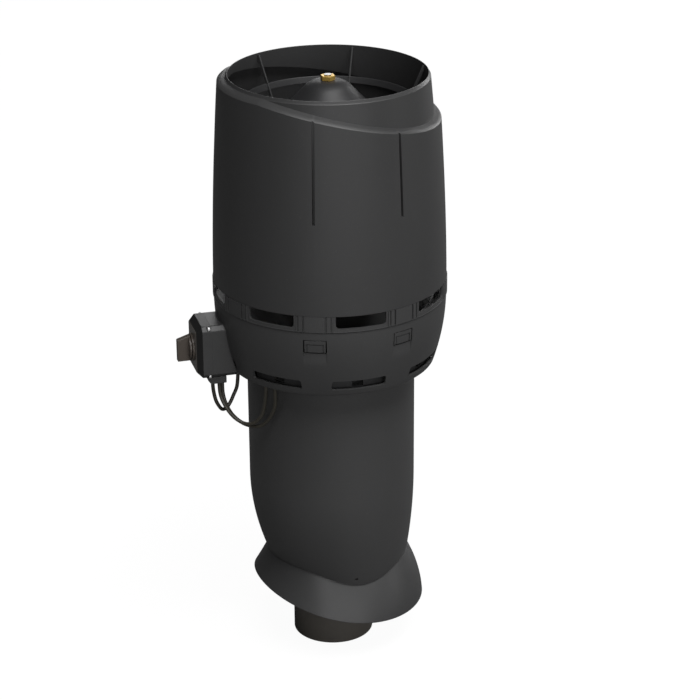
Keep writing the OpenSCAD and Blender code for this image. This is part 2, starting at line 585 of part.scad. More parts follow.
module contact_block() color(c_knob) difference() {
    union() {
        box_block(bowl_r + 5, seam_x + 6, box_w * 0.52, box_h * 0.55);
        box_block(bowl_r + 5, seam_x + 2, box_w * 0.57, box_h / 6);
    }
    along_x(seam_x - 4, seam_x + 10, knob_r + 0.05);
}
module switch_shaft() color(c_steel) along_x(seam_x - 3.5, face_x + 8, knob_r);
module switch_knob() color(c_knob) difference() {
    union() {
        along_x(face_x + 3.4, face_x + 6, collar_r - 3);
        translate([-face_x - 3.4 - bar_out, -bar_t / 2, box_c - bar_h / 2]) cube([bar_out, bar_t, bar_h]);
    }
    along_x(face_x, face_x + 8.3, knob_r + 0.03);
    // Sloped upper end of the bar
    translate([-face_x - 3.4 - bar_out, 0, box_c + bar_h / 2 - 6]) rotate([0, -18, 0])
        translate([-10, -20, 0]) cube([40, 40, 20]);
}

// Gland under the box, bushes under the deck, and three cables between them
gland_x = seam_x - 6.5;
gland_z = box_c - box_h / 2;
module cable_gland() color(c_dark) difference() {
    translate([-gland_x - 12.5, -25, gland_z - 10]) cube([25, 22, 9.8]);
    translate([-gland_x - 12.5, -30, gland_z - 10]) rotate([0, 35, 0]) translate([-20, 0, -10]) cube([20, 40, 20]);
}
cable_end_1 = [-127, 2];
cable_end_2 = [-107, -70];
cable_end_3 = [-98, -82];
bush_z = deck_z - 7;
module cable_bushes() color(c_knob) at_cables() {
    rod(cable_d / 2 + 3.2, bush_z, deck_z - 0.1);
    rod(cable_d / 2 + 1.6, deck_z - 1, deck_z + deck_t);
}
// Route of each cable below the gland: x, y, and the drop below the gland's underside
route_1 = [[-166, -14, 0], [-165, -13, -14], [-162, -12, -29], [-157, -10, -40], [-152, -7, -46], [-146, -5, -45],
    [-140, -2, -39], [-135, 0, -30], [-130, 1, -19], [-128, 2, -4], [-127, 2, 12], [-127, 2, 50]];
route_2 = [[-158, -18, 0], [-157, -19, -18], [-153, -23, -31], [-147, -29, -42], [-139, -36, -50], [-129, -44, -54],
    [-119, -52, -50], [-111, -59, -38], [-108, -65, -20], [-107, -69, -2], [-107, -70, 16], [-107, -70, 50]];
route_3 = [[-152, -10, 0], [-152, -12, -20], [-149, -17, -35], [-143, -24, -47], [-134, -33, -55], [-124, -42, -58],
    [-112, -54, -55], [-103, -65, -42], [-98, -74, -25], [-97, -80, -9], [-98, -82, 12], [-98, -82, 50]];
route_z = gland_z - 10;
function route_at(q, k) = let (n = len(q), i = floor(k), s = k - i,
    a = q[max(0, i - 1)], b = q[min(n - 1, i)], c = q[min(n - 1, i + 1)], d = q[min(n - 1, i + 2)])
    0.5 * (2 * b + (c - a) * s + (2 * a - 5 * b + 4 * c - d) * s * s + (3 * b - a - 3 * c + d) * s * s * s);
module cable(q) {
    n = len(q);
    m = 20;
    path = concat([for (k = [0:m]) let (p = route_at(q, k * (n - 1.001) / m)) [p[0], p[1], route_z + p[2]]],
        [[q[n - 1][0], q[n - 1][1], bush_z]]);
    pts = [for (k = [0:m + 1]) let (
            d = k == 0 || k >= m ? [0, 0, k == 0 ? -1 : 1] : unit(path[k + 1] - path[k - 1]),
            u = unit(cross(d, [0.55, -0.83, 0])), v = cross(d, u))
        for (j = [0:7]) path[k] + cable_d / 2 * (u * cos(j * 45) + v * sin(j * 45))];
    polyhedron(pts, concat([[for (j = [7:-1:0]) j]],
        [for (k = [0:m]) for (j = [0:7]) let (a = k * 8 + j, b = k * 8 + (j + 1) % 8)
            each [[a, b, b + 8], [a, b + 8, a + 8]]],
        [[for (j = [0:7]) (m + 1) * 8 + j]]), convexity = 8);
}
module cable_1() color(c_cable) cable(route_1);
module cable_2() color(c_cable) cable(route_2);
module cable_3() color(c_cable) cable(route_3);

duct();
insulation();
outer_pipe();
skirt();
base_bowl();
base_frame();
inlet_ring();
latch_fl();
latch_fr();
latch_bl();
latch_br();
hood();
hood_struts();
diffuser_ring();
motor_cone();
cone_nut();
tie_rod();
motor_plate();
motor_screws();
motor_flange();
motor_stator();
upper_bearing();
lower_bearing();
motor_rotor();
motor_shaft();
impeller_disc();
impeller_blades();
impeller_shroud();
switch_box();
switch_cover();
cover_screws();
contact_block();
switch_collar();
switch_knob();
switch_shaft();
cable_gland();
cable_bushes();
cable_1();
cable_2();
cable_3();
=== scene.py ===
# %% [markdown]
# A roof exhaust fan on an insulated pipe, dressed for rendering.
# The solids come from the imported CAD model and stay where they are. This lesson keeps the plain inner
# solids and gives them finishes, and models the visible shells again with smooth, detailed meshes: the
# hood, the bowl with its windows and latches, the pipe, the skirt, the switch and the cables.
# Lengths below are in millimetres, as on a drawing, and at() turns them into Blender's metres.

# %% Load the frame
from math import atan2, cos, degrees, hypot, radians, sin, sqrt

import bmesh
import bpy
from mathutils import Matrix, Vector


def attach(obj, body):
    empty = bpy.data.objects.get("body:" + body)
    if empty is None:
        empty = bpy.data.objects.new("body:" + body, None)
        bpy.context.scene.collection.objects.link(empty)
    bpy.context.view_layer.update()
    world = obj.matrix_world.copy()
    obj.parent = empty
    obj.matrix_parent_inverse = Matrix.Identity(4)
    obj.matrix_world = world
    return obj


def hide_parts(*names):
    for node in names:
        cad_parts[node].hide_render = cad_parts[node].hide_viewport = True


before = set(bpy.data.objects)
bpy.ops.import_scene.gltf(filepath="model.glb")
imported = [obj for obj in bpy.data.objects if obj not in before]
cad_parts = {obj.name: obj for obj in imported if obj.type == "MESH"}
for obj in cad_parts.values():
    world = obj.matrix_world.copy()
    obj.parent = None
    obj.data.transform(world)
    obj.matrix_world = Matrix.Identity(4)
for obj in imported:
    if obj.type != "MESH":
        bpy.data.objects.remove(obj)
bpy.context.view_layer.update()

MM = 0.001


def at(r, a, z):
    """The point at radius r, angle a in degrees (0 is +X, the front is -90) and height z."""
    return Vector((r * cos(radians(a)), r * sin(radians(a)), z)) * MM


# %% [markdown]
# The camera stands where the photographer stood: 2.8 m away, 15 degrees to the left of the fan's front
# and 1.6 m up, looking 23 degrees down. It was found by fitting the rims of the hood, the bowl and the
# pipe, which are all circles. A long lens from that distance keeps the pipe's sides nearly parallel.

# %% Camera
TURN = -15.0
STAND, EYE = 2812.0, 1625.5
PITCH, YAW, ROLL = radians(23.20), radians(0.53), radians(-0.39)
turned = Matrix.Rotation(radians(TURN), 3, "Z")
forward = turned @ Vector((sin(YAW) * cos(PITCH), cos(YAW) * cos(PITCH), -sin(PITCH)))
level = turned @ Vector((cos(YAW), -sin(YAW), 0))
upward = level.cross(forward)
right = level * cos(ROLL) + upward * sin(ROLL)
up = upward * cos(ROLL) - level * sin(ROLL)
camera = bpy.data.objects.new("Camera", bpy.data.cameras.new("Camera"))
bpy.context.scene.collection.objects.link(camera)
camera.matrix_world = Matrix((right, up, -forward)).transposed().to_4x4()
camera.location = at(STAND, TURN - 90, EYE)
camera.data.sensor_width = 36
camera.data.lens = 2277 / 700 * 36
camera.data.clip_end = 100
bpy.context.scene.camera = camera

# %% [markdown]
# A finish is a little graph of nodes. Written by hand such a graph is hard to read, so a socket is
# wrapped in a small class whose + - * add the Math nodes, and every other node comes from one method.
# A pattern then reads like the sentence that describes it.

# %% Node maths


class Value:
    """One output socket of a material. Arithmetic on it adds Math nodes."""

    def __init__(self, finish, socket):
        self.finish, self.socket = finish, socket

    def maths(self, operation, *values):
        return self.finish.node("ShaderNodeMath", {"operation": operation}, dict(enumerate(values)))

    def __add__(self, other):
        return self.maths("ADD", self, other)

    def __sub__(self, other):
        return self.maths("SUBTRACT", self, other)

    def __rsub__(self, other):
        return self.maths("SUBTRACT", other, self)

    def __mul__(self, other):
        return self.maths("MULTIPLY", self, other)

    def __pow__(self, other):
        return self.maths("POWER", self, other)

    __radd__, __rmul__ = __add__, __mul__

    def clamp(self):
        return self.maths("MINIMUM", self.maths("MAXIMUM", self, 0.0), 1.0)


class Finish:
    """One material, with its Principled shader and a way to add nodes."""

    def __init__(self, name, **sockets):
        self.material = bpy.data.materials.new(name)
        self.material.use_nodes = True
        self.tree = self.material.node_tree
        self.shader = self.tree.nodes["Principled BSDF"]
        for key, value in sockets.items():
            self.shader.inputs[key.replace("_", " ")].default_value = value

    def node(self, kind, settings=None, inputs=None, output=0):
        made = self.tree.nodes.new(kind)
        for key, value in (settings or {}).items():
            if key == "stops":
                while len(made.color_ramp.elements) < len(value):
                    made.color_ramp.elements.new(0.5)
                for element, (place, shade) in zip(made.color_ramp.elements, value):
                    element.position, element.color = place, (shade, shade, shade, 1)
            else:
                setattr(made, key, value)
        for key, value in (inputs or {}).items():
            self.feed(made.inputs[key], value)
        return Value(self, made.outputs[output])

    def feed(self, socket, value):
        if isinstance(value, Value):
            self.tree.links.new(value.socket, socket)
        else:
            socket.default_value = value

    def set(self, **sockets):
        for key, value in sockets.items():
            self.feed(self.shader.inputs[key.replace("_", " ")], value)
        return self

    def place(self, stretch=(1, 1, 1)):
        """Object coordinates, in metres, stretched for a pattern that runs along one direction."""
        where = self.node("ShaderNodeTexCoord", output="Object")
        return self.node("ShaderNodeMapping", {}, {"Vector": where, "Scale": stretch})

    def noise(self, scale, detail=2.0, stretch=(1, 1, 1)):
        inputs = {"Vector": self.place(stretch), "Scale": scale, "Detail": detail}
        return self.node("ShaderNodeTexNoise", {}, inputs)

    def cells(self, scale, output="Distance"):
        inputs = {"Vector": self.place(), "Scale": scale}
        return self.node("ShaderNodeTexVoronoi", {}, inputs, output)

    def ramp(self, value, *stops):
        return self.node("ShaderNodeValToRGB", {"stops": stops}, {"Fac": value})

    def blend(self, mask, first, second):
        """first where the mask is 0, second where it is 1, as colours."""
        inputs = {0: mask, 6: (*first, 1) if isinstance(first, tuple) else first,
                  7: (*second, 1) if isinstance(second, tuple) else second}
        return self.node("ShaderNodeMix", {"data_type": "RGBA"}, inputs, output=2)

    def bump(self, height, depth):
        """A bump of so many millimetres."""
        return self.node("ShaderNodeBump", {}, {"Height": height, "Distance": depth * MM, "Strength": 1.0})


# %% [markdown]
# The fan is injection-moulded polypropylene, dyed through in a dark grey. Up close such a part has a fine
# spark-eroded grain, a slow cloudiness where the melt flowed, and a few paler specks of dust. The grain
# is a bump of a twentieth of a millimetre. The clouds and specks shift the colour only a little, because
# a new part looks even from a step away.

# %% Moulded plastic


def moulded(name, colour, roughness, grain=0.05, clouds=0.12):
    finish = Finish(name, IOR=1.49)
    flow = finish.noise(9, detail=3, stretch=(1, 1, 0.35))
    pores = finish.noise(1500, detail=1.5)
    specks = finish.ramp(finish.noise(420, detail=1), (0.68, 0.0), (0.74, 1.0))
    pale = tuple(min(1, c * (1 + clouds)) for c in colour)
    deep = tuple(c * (1 - clouds) for c in colour)
    base = finish.blend(flow, deep, pale)
    dusty = finish.blend(specks * 0.10, base, tuple(0.5 * c + 0.11 for c in colour))
    return finish.set(Base_Color=dusty, Roughness=roughness + (flow - 0.5) * 0.10 + specks * 0.06,
                      Normal=finish.bump(pores, grain)).material


BODY = moulded("Moulded_grey", (0.040, 0.040, 0.0405), 0.44)
# The pipe, the bowl and the latch pads get the same grey painted a fifth lighter: painted light that brings
# them up to the hood's brightness under these lamps.
GREY_PAINTED_LIGHTER = moulded("Moulded_grey_painted_lighter", (0.048, 0.048, 0.0485), 0.44)
# The darker grey is the cone's own colour and that of the carried-over dark solids; on the bowl's inner parts
# and on the diffuser ring it is painted shade.
DARK_AND_PAINTED_SHADE = moulded("Moulded_dark_and_painted_shade", (0.022, 0.022, 0.023), 0.50, grain=0.02, clouds=0.08)
BOX = moulded("Box_plastic", (0.043, 0.043, 0.0435), 0.42, grain=0.035)
KNOB = moulded("Knob_plastic", (0.075, 0.062, 0.052), 0.38, grain=0.02)


def cover_painted_light_and_shade():
    """A warm grey front plate painted lighter as painted light, on sloped sides painted near-black as painted
    shade, told apart by their place along X.
    """
    finish = Finish("Cover_painted_light_and_shade", IOR=1.49)
    where = finish.node("ShaderNodeSeparateXYZ", {}, {"Vector": finish.place()})
    front = ((where * -1.0 - 0.1875) * 2000.0).clamp()
    side = ((where * -1.0 - 0.1803) * 2000.0).clamp() - front
    flow = finish.noise(40, detail=3)
    plain = finish.blend(flow, (0.036, 0.036, 0.0365), (0.048, 0.048, 0.0485))
    # The front plate is the knob's warm grey, painted lighter as painted light; the sloped sides are painted
    # near-black as painted shade.
    base = finish.blend(side, finish.blend(front, plain, (0.115, 0.105, 0.094)), (0.010, 0.010, 0.010))
    return finish.set(Base_Color=base, Roughness=0.42 + flow * 0.08 - front * 0.14,
                      Normal=finish.bump(finish.noise(1500, detail=1.5), 0.03)).material


COVER_PAINTED_LIGHT_AND_SHADE = cover_painted_light_and_shade()
print("plastics:", [m.name for m in (BODY, GREY_PAINTED_LIGHTER, DARK_AND_PAINTED_SHADE, BOX, KNOB, COVER_PAINTED_LIGHT_AND_SHADE)])

# %% [markdown]
# The duct is a drawn tube with fine lines along its length, and the inner parts are galvanised steel,
# whose zinc freezes in leaf-shaped crystals. Each crystal reflects a little differently, so a cell
# pattern moves the roughness and the colour together. Small metal parts mirror the dark room round them,
# so brass and screws are made a little less metallic, which keeps them light.

# %% Tube, zinc, steel, brass and copper


def drawn_tube():
    finish = Finish("Duct_tube", IOR=1.5)
    lines = finish.noise(260, detail=3, stretch=(1, 1, 0.02))
    smear = finish.noise(14, detail=4)
    base = finish.blend(smear, (0.072, 0.066, 0.058), (0.096, 0.088, 0.078))
    rough = 0.42 + lines * 0.12
    return finish.set(Base_Color=base, Roughness=rough, Normal=finish.bump(lines, 0.03)).material


def zinc(name, colour, roughness, metallic=1.0):
    finish = Finish(name, Metallic=metallic)
    tone = finish.node("ShaderNodeSeparateColor", {}, {"Color": finish.cells(160, "Color")})
    brushed = finish.noise(90, detail=4, stretch=(1, 1, 12))
    base = finish.blend(tone * 0.6 + brushed * 0.4, tuple(c * 0.82 for c in colour), colour)
    return finish.set(Base_Color=base, Roughness=roughness + (tone - 0.5) * 0.12,
                      Normal=finish.bump(brushed, 0.01)).material


def brass():
    finish = Finish("Brass", Metallic=0.7)
    turned_lines = finish.noise(900, detail=2, stretch=(1, 1, 0.1))
    stain = finish.noise(130, detail=3)
    base = finish.blend(stain, (0.70, 0.42, 0.07), (0.86, 0.60, 0.18))
    rough = 0.22 + stain * 0.12
    return finish.set(Base_Color=base, Roughness=rough, Normal=finish.bump(turned_lines, 0.008)).material


def copper_wire():
    finish = Finish("Copper_wire", Metallic=1.0)
    turns = finish.node("ShaderNodeTexWave", {"wave_type": "BANDS", "bands_direction": "Z"},
                        {"Vector": finish.place(), "Scale": 400.0, "Distortion": 1.2, "Detail": 1.0})
    base = finish.blend(turns, (0.30, 0.11, 0.05), (0.78, 0.36, 0.18))
    return finish.set(Base_Color=base, Roughness=0.30 + turns * 0.1, Normal=finish.bump(turns, 0.15)).material


DUCT = drawn_tube()
STEEL = zinc("Galvanised_steel", (0.62, 0.63, 0.64), 0.36)
BRIGHT = zinc("Bright_steel", (0.80, 0.80, 0.80), 0.34, 0.4)
BRASS = brass()
COPPER = copper_wire()

# %% [markdown]
# The jacket round the duct is a rigid foam. Its cut surface shows open cells of one to two millimetres.
# The cables have a soft rubbery sheath, a little shinier than the housing, with faint scuffs along it.

# %% Foam and cable sheath


def rigid_foam():
    finish = Finish("Foam", Roughness=0.9)
    cells = finish.cells(700)
    tone = finish.noise(30, detail=4)
    base = finish.blend(tone, (0.50, 0.48, 0.40), (0.66, 0.64, 0.56))
    shaded = finish.blend((cells * 1.6).clamp(), base, (0.30, 0.28, 0.22))
    return finish.set(Base_Color=shaded, Normal=finish.bump(cells, 0.4)).material


def sheath():
    finish = Finish("Cable_sheath", IOR=1.5)
    scuffs = finish.ramp(finish.noise(300, detail=3), (0.56, 0.0), (0.72, 1.0))
    tone = finish.noise(60, detail=2)
    base = finish.blend(tone, (0.034, 0.031, 0.024), (0.050, 0.045, 0.035))
    return finish.set(Base_Color=finish.blend(scuffs * 0.2, base, (0.10, 0.095, 0.08)),
                      Roughness=0.42 + scuffs * 0.2, Normal=finish.bump(tone, 0.03)).material


FOAM = rigid_foam()
SHEATH = sheath()

# %% [markdown]
# Every finished piece takes the same last steps: its doubles are merged, its faces turned outwards, its
# broad faces shaded smooth with sharp edges kept, and then it rides on its body and stands for its
# solid. Weighted normals keep the flats flat beside small rounded edges.

# %% Finishing a piece


def piece(name, bm, body, finish, nodes, sharp=38.0):
    mesh = bpy.data.meshes.new(name)
    bm.to_mesh(mesh)
    bm.free()
    made = bpy.data.objects.new(name, mesh)
    bpy.context.scene.collection.objects.link(made)
    mesh.materials.append(finish)
    shade(made, sharp)
    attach(made, body)
    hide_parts(*nodes)
    print(f"{name}: {len(mesh.polygons)} faces")
    return made


def shade(made, sharp=38.0):
    made.data.shade_smooth()
    made.data.set_sharp_from_angle(angle=radians(sharp))
    if "Weighted" not in made.modifiers:
        weighted = made.modifiers.new("Weighted", "WEIGHTED_NORMAL")
        weighted.keep_sharp = True


def outward(bm):
    """Merges doubles and turns the faces outwards, before any wall gets its thickness."""
    bmesh.ops.remove_doubles(bm, verts=bm.verts, dist=1e-6)
    bmesh.ops.recalc_face_normals(bm, faces=bm.faces)
    return bm


def round_edges(bm, width, segments=2, angle=40.0, where=None):
    """Rounds the edges that are sharper than the angle."""
    edges = [e for e in bm.edges if len(e.link_faces) == 2 and e.calc_face_angle(0) > radians(angle)
             and (where is None or where(e))]
    bmesh.ops.bevel(bm, geom=edges, offset=width * MM, segments=segments, profile=0.5, affect="EDGES",
                    clamp_overlap=True, material=-1)
    return bm


# %% [markdown]
# The round shells are lathe shapes, but three of them aren't plain: the pipe's foot, the skirt and the
# hood's shoulder rise and fall around the axis. A plain spin can't do that, and a Boolean with a bent
# cutter leaves poor edges. So one column of points is spun into a grid first, each point remembers its
# row number, and then every point is moved to where its row belongs at its own angle.

# %% Spun and shaped shells


def spun(rows, steps, place, closed=False, sweep=360.0, start=0.0):
    """Spins a column of so many rows round the axis. place(row, angle) gives each point's position."""
    bm = bmesh.new()
    layer = bm.verts.layers.int.new("row")
    column = []
    for k in range(rows):
        v = bm.verts.new((cos(radians(start)), sin(radians(start)), k * 0.01))
        v[layer] = k
        column.append(v)
    edges = [bm.edges.new(pair) for pair in zip(column, column[1:])]
    if closed:
        edges.append(bm.edges.new((column[-1], column[0])))
    bmesh.ops.spin(bm, geom=column + edges, cent=(0, 0, 0), axis=(0, 0, 1), angle=radians(sweep),
                   steps=steps, use_merge=sweep == 360.0)
    for v in bm.verts:
        v.co = place(v[layer], degrees(atan2(v.co.y, v.co.x)))
    return outward(bm)


def lathe(points, steps):
    """A plain turned shape from (radius, height) points."""
    return spun(len(points), steps, lambda row, a: at(points[row][0], a, points[row][1]), True)


def sector(points, middle, sweep, steps=8):
    """A solid arc of a turned shape, with both of its ends closed."""
    bm = spun(len(points), steps, lambda row, a: at(points[row][0], a, points[row][1]), True, sweep,
              middle - sweep / 2)
    bmesh.ops.holes_fill(bm, edges=[e for e in bm.edges if e.is_boundary], sides=0)
    return outward(bm)


def together(shapes):
    """Several shapes as one."""
    whole = bmesh.new()
    for bm in shapes:
        mesh = bpy.data.meshes.new("shape")
        bm.to_mesh(mesh)
        bm.free()
        whole.from_mesh(mesh)
        bpy.data.meshes.remove(mesh)
    return whole


def smooth(points, per=5):
    """A smooth line through the points, with so many steps between each two."""
    ends = [points[0], *points, points[-1]]
    line = []
    for k in range(1, len(ends) - 2):
        a, b, c, d = (Vector(p) for p in ends[k - 1:k + 3])
        for i in range(per):
            s = i / per
            line.append(0.5 * (2 * b + (c - a) * s + (2 * a - 5 * b + 4 * c - d) * s**2
                               + (3 * b - a - 3 * c + d) * s**3))
    return [*line, Vector(points[-1])]


# %% [markdown]
# Three short cables loop out of the gland under the switch box and go up into the bowl beside the pipe.
# Each is 5 mm thick and rather stiff, so it drops straight out of the gland, swings through one low
# curve and rises to its bush under the fan deck. Curves with a round bevel are the plain way to make
# them, because Blender keeps their centre line, and so their length, exact.

# %% Cables
DECK, GLAND, BUSH = 500.0, 402.0, 493.0
CABLE = 5.0
routes = {
    "cable_1": [(-166, -14, 0), (-165, -13, -14), (-162, -12, -29), (-157, -10, -40), (-152, -7, -46),
                (-146, -5, -45), (-140, -2, -39), (-135, 0, -30), (-130, 1, -19), (-128, 2, -4),
                (-127, 2, 12), (-127, 2, 50)],
    "cable_2": [(-158, -18, 0), (-157, -19, -18), (-153, -23, -31), (-147, -29, -42), (-139, -36, -50),
                (-129, -44, -54), (-119, -52, -50), (-111, -59, -38), (-108, -65, -20), (-107, -69, -2),
                (-107, -70, 16), (-107, -70, 50)],
    "cable_3": [(-152, -10, 0), (-152, -12, -20), (-149, -17, -35), (-143, -24, -47), (-134, -33, -55),
                (-124, -42, -58), (-112, -54, -55), (-103, -65, -42), (-98, -74, -25), (-97, -80, -9),
                (-98, -82, 12), (-98, -82, 50)],
}
for name, route in routes.items():
    line = [Vector((x, y, GLAND + drop)) * MM for x, y, drop in smooth(route)]
    line.append(Vector((line[-1].x, line[-1].y, BUSH * MM)))
    curve = bpy.data.curves.new(name + "_sheath", "CURVE")
    curve.dimensions, curve.bevel_depth, curve.bevel_resolution = "3D", CABLE / 2 * MM, 4
    curve.use_fill_caps = True
    spline = curve.splines.new("POLY")
    spline.points.add(len(line) - 1)
    for point, place in zip(spline.points, line):
        point.co = (*place, 1)
    spline.use_smooth = True
    cable = bpy.data.objects.new(name + "_sheath", curve)
    bpy.context.scene.collection.objects.link(cable)
    curve.materials.append(SHEATH)
    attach(cable, "base")
    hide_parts(name)

# %% [markdown]
# The outer pipe carries everything. It is a straight tube that draws in over its last 120 mm and ends in
# an edge that rises and falls round the pipe: low at the front and back, and high at both sides. One
# column of rows runs up the outside and down the inside, so the wall comes with the shape.

# %% Outer pipe
PIPE, PIPE_WALL = 112.5, 2.5
FOOT, TAPER, LOBE, FOOT_IN = 125.0, 120.0, 9.4, 15.8


def wave(*terms):
    """A sum of cosines: pairs of (size, times round)."""
    return lambda a: sum(size * cos(radians(times * a)) for size, times in terms)


edge_r = wave((PIPE - FOOT_IN, 0), (6.6, 1), (0.8, 2))
edge_z = wave((FOOT, 0), (-4.6, 1), (LOBE, 2), (LOBE * 0.37, 3), (-LOBE * 0.33, 4), (-LOBE * 0.1, 5))


def pipe_r(a, u):
    return PIPE - (PIPE - edge_r(a)) * u * u


def pipe_z(a, u):
    return FOOT + TAPER - (FOOT + TAPER - edge_z(a)) * u


pipe_rows = [(1 - k / 16, 0.0) for k in range(17)] + [(None, 0.0), (None, PIPE_WALL)]
pipe_rows += [(k / 16, PIPE_WALL) for k in range(17)]


def pipe_at(row, a):
    u, inset = pipe_rows[row]
    if u is None:
        return at(PIPE - inset, a, DECK - 0.3)
    return at(pipe_r(a, u) - inset, a, pipe_z(a, u))


pipe = spun(len(pipe_rows), 180, pipe_at, closed=True)
round_edges(pipe, 0.9, 3)
# The pipe's grey is painted a little lighter, as painted light.
pipe = piece("Pipe_shell", pipe, "base", GREY_PAINTED_LIGHTER, ["outer_pipe"])

# %% [markdown]
# The skirt throws rain clear of the roof's collar. Its neck goes up inside the pipe's foot and its hem
# is a slanted loop, low on one side. The flare is fuller on that side, which is why the bulge is a
# function of the angle too.

# %% Skirt
SKIRT, HEM, FALL, SADDLE, SKIRT_WALL = 117.6, 69.9, 21.8, 5.6, 2.5
hem_r, hem_z = wave((SKIRT, 0), (7.8, 1)), wave((HEM, 0), (-FALL, 1), (SADDLE, 2))


def neck_r(a, u):
    return pipe_r(a, u) - PIPE_WALL - 0.3


def skirt_flare(a, v, inset):
    full = v + (0.2 + 0.3 * cos(radians(a))) * v * (1 - v) * 1.6
    r0, z0 = neck_r(a, 1), edge_z(a) - 0.4
    return at(r0 + (hem_r(a) - r0) * full - inset, a, z0 + (hem_z(a) - z0) * v - inset * 0.25 * (1 - v))


flare_steps = [k / 18 for k in range(19)]
skirt_rows = [("flare", v, 0.0) for v in reversed(flare_steps)]
skirt_rows += [("neck", 0.94, 0.0), ("neck", 0.88, 0.0)]
skirt_rows += [("neck", 0.88, SKIRT_WALL), ("neck", 0.94, SKIRT_WALL)]
skirt_rows += [("flare", v, SKIRT_WALL) for v in flare_steps]


def skirt_at(row, a):
    kind, v, inset = skirt_rows[row]
    return skirt_flare(a, v, inset) if kind == "flare" else at(neck_r(a, v) - inset, a, pipe_z(a, v))


skirt = spun(len(skirt_rows), 180, skirt_at, closed=True)
round_edges(skirt, 0.9, 3)
skirt = piece("Skirt_shell", skirt, "base", BODY, ["skirt"])

# %% [markdown]
# The duct is the plain tube that a roofer slides into the building's duct, as far as its stop bead. Its
# cut end is deburred, so both of its edges are rounded.

# %% Duct
DUCT_R, DUCT_WALL, DUCT_TOP, BEAD = 55.0, 2.7, 503.2, 150.0
bore = DUCT_R - DUCT_WALL
tube = lathe([(DUCT_R, 0), (DUCT_R, 30), (DUCT_R, 60), (DUCT_R, BEAD), (DUCT_R + 1.5, BEAD),
              (DUCT_R + 1.5, BEAD + 3), (DUCT_R - 1, BEAD + 3), (DUCT_R - 1, DUCT_TOP), (bore, DUCT_TOP),
              (bore, 60), (bore, 0)], 144)
round_edges(tube, 0.8, 3, 60)
tube = piece("Duct_tube", tube, "base", DUCT, ["duct"])

# %% [markdown]
# The bowl is the busiest shell: a curved wall with eight vents below, a standing ring with eight
# windows above, thin grooves on the pillars between the windows, and four latch openings. All of it is
# one spun skin. Its columns are moved sideways onto the edges of the windows and grooves, its points are
# pushed inwards where the wall is recessed, the faces inside each opening are deleted, and the wall gets
# its thickness last. A fine groove runs round the joint of bowl and ring, and a thumb recess leads up to
# each latch.

# %% Bowl skin
BOWL, ARC, LIP, RING = 154.3, 278.0, 509.0, 531.2
BOWL_LOW, BOWL_WALL, LIP_R = 415.5, 3.0, 155.5
WINDOW_LOW, WINDOW_SPAN, WINDOW_CORNER = 514.7, 12.45, 4.5
VENT_LOW, VENT_HIGH, VENT_SPAN, VENT_CORNER = 424.6, 438.1, 14.6, 2.6
LATCH_LOW, LATCH_HIGH, LATCH_SPAN = 480.0, 499.0, 5.75
JOINT_GROOVE, THUMB_LOW, THUMB_DEEP, COLUMN = 2.6, 462.0, 1.5, 0.75
LATCHES = {"latch_fl": -112.5, "latch_fr": -67.5, "latch_bl": 112.5, "latch_br": 67.5}
bodies = {"latch_fl": "latch_front_left", "latch_fr": "latch_front_right",
          "latch_bl": "latch_back_left", "latch_br": "latch_back_right"}


def bowl_r(z):
    return BOWL - max(0.0, LIP - z) ** 2 / (2 * ARC)


def from_pillar(a):
    """Angle from the nearest pillar's middle, -22.5 to 22.5, and that pillar's own angle."""
    off = a % 45 - 22.5
    return off, a - off


# Columns of the ring from a pillar's middle outwards: angle, and depth of the recess there
ring_columns = [(a, 0) for a in (0, 0.9, 1.8, 2.7, 3.6, 4.3, 4.85)]
ring_columns += [(4.95, 2.2), (5.7, 2.2), (5.8, 0), (7.5, 0), (7.6, 1.8), (8.2, 1.8)]
ring_columns += [(a, 0) for a in (8.3, 8.6, 9.0)]
window_columns = (9.12, 9.7, 10.3, 10.9, 11.6, 12.4, 13.3, 14.3, 15.4, 16.5, 17.7, 18.9, 20.1, 21.3, 22.5)
ring_columns += [(a, 1.1) for a in window_columns]
bowl_heights = [BOWL_LOW, 415.9, 417, 419.5, 422.5, 424.4, 425.7, 426.8, 428, 429.4, 431.1, 432.8, 434.2,
                435.4, 436.5, 438, 441, 446, 452, 457, 461, 464, 467, 470, 474, 478, 479.4, LATCH_LOW, 484,
                489, 494, LATCH_HIGH, 501.5, 504, 507, LIP]
ring_heights = [LIP, 510.1, 510.6, 510.8, 512.2, 514, 515.4, 516.6, 518, 519.6, 521.5, 524, 527, 529.5, RING]
skin_rows = [("bowl", z) for z in bowl_heights] + [("ring", z) for z in ring_heights]


def skin_at(row, a):
    kind, z = skin_rows[row]
    off, pillar = from_pillar(a)
    side = 1 if off >= 0 else -1
    k = round(abs(off) / COLUMN)
    if kind == "ring":
        angle, depth = ring_columns[k]
        pushed = JOINT_GROOVE if z == LIP else depth if z > 510.7 else 0
        return at(LIP_R - pushed, pillar + side * angle, z)
    r = bowl_r(z) - (1.4 if z == BOWL_LOW else 0.4 if z < 416 else 0)
    if any(abs(pillar - b) < 1 for b in LATCHES.values()):
        angle = {7: 5.55, 8: LATCH_SPAN}.get(k, k * COLUMN)
        if k < 8 and THUMB_LOW < z < LATCH_LOW + 0.5:
            r -= THUMB_DEEP * min(1.0, (z - THUMB_LOW) / 14) ** 1.4
        return at(r, pillar + side * angle, z)
    return at(r, a, z)


bowl = spun(len(skin_rows), round(360 / COLUMN), skin_at)
print("bowl skin:", len(bowl.faces), "faces")

# %% [markdown]
# The openings have rounded corners. The faces whose middle lies inside an opening are deleted, and the
# ragged edge that this leaves is pulled onto the opening's true outline.

# %% Openings of the bowl


def polar(v):
    return hypot(v.x, v.y) / MM, degrees(atan2(v.y, v.x)), v.z / MM


def nearest_on(x, z, half, low, high, corner):
    """The nearest point on a rounded rectangle, x measured from its middle."""
    cx = max(-(half - corner), min(half - corner, x))
    cz = max(low + corner, min(high - corner, z))
    away = hypot(x - cx, z - cz) or 1.0
    return cx + (x - cx) / away * corner, cz + (z - cz) / away * corner


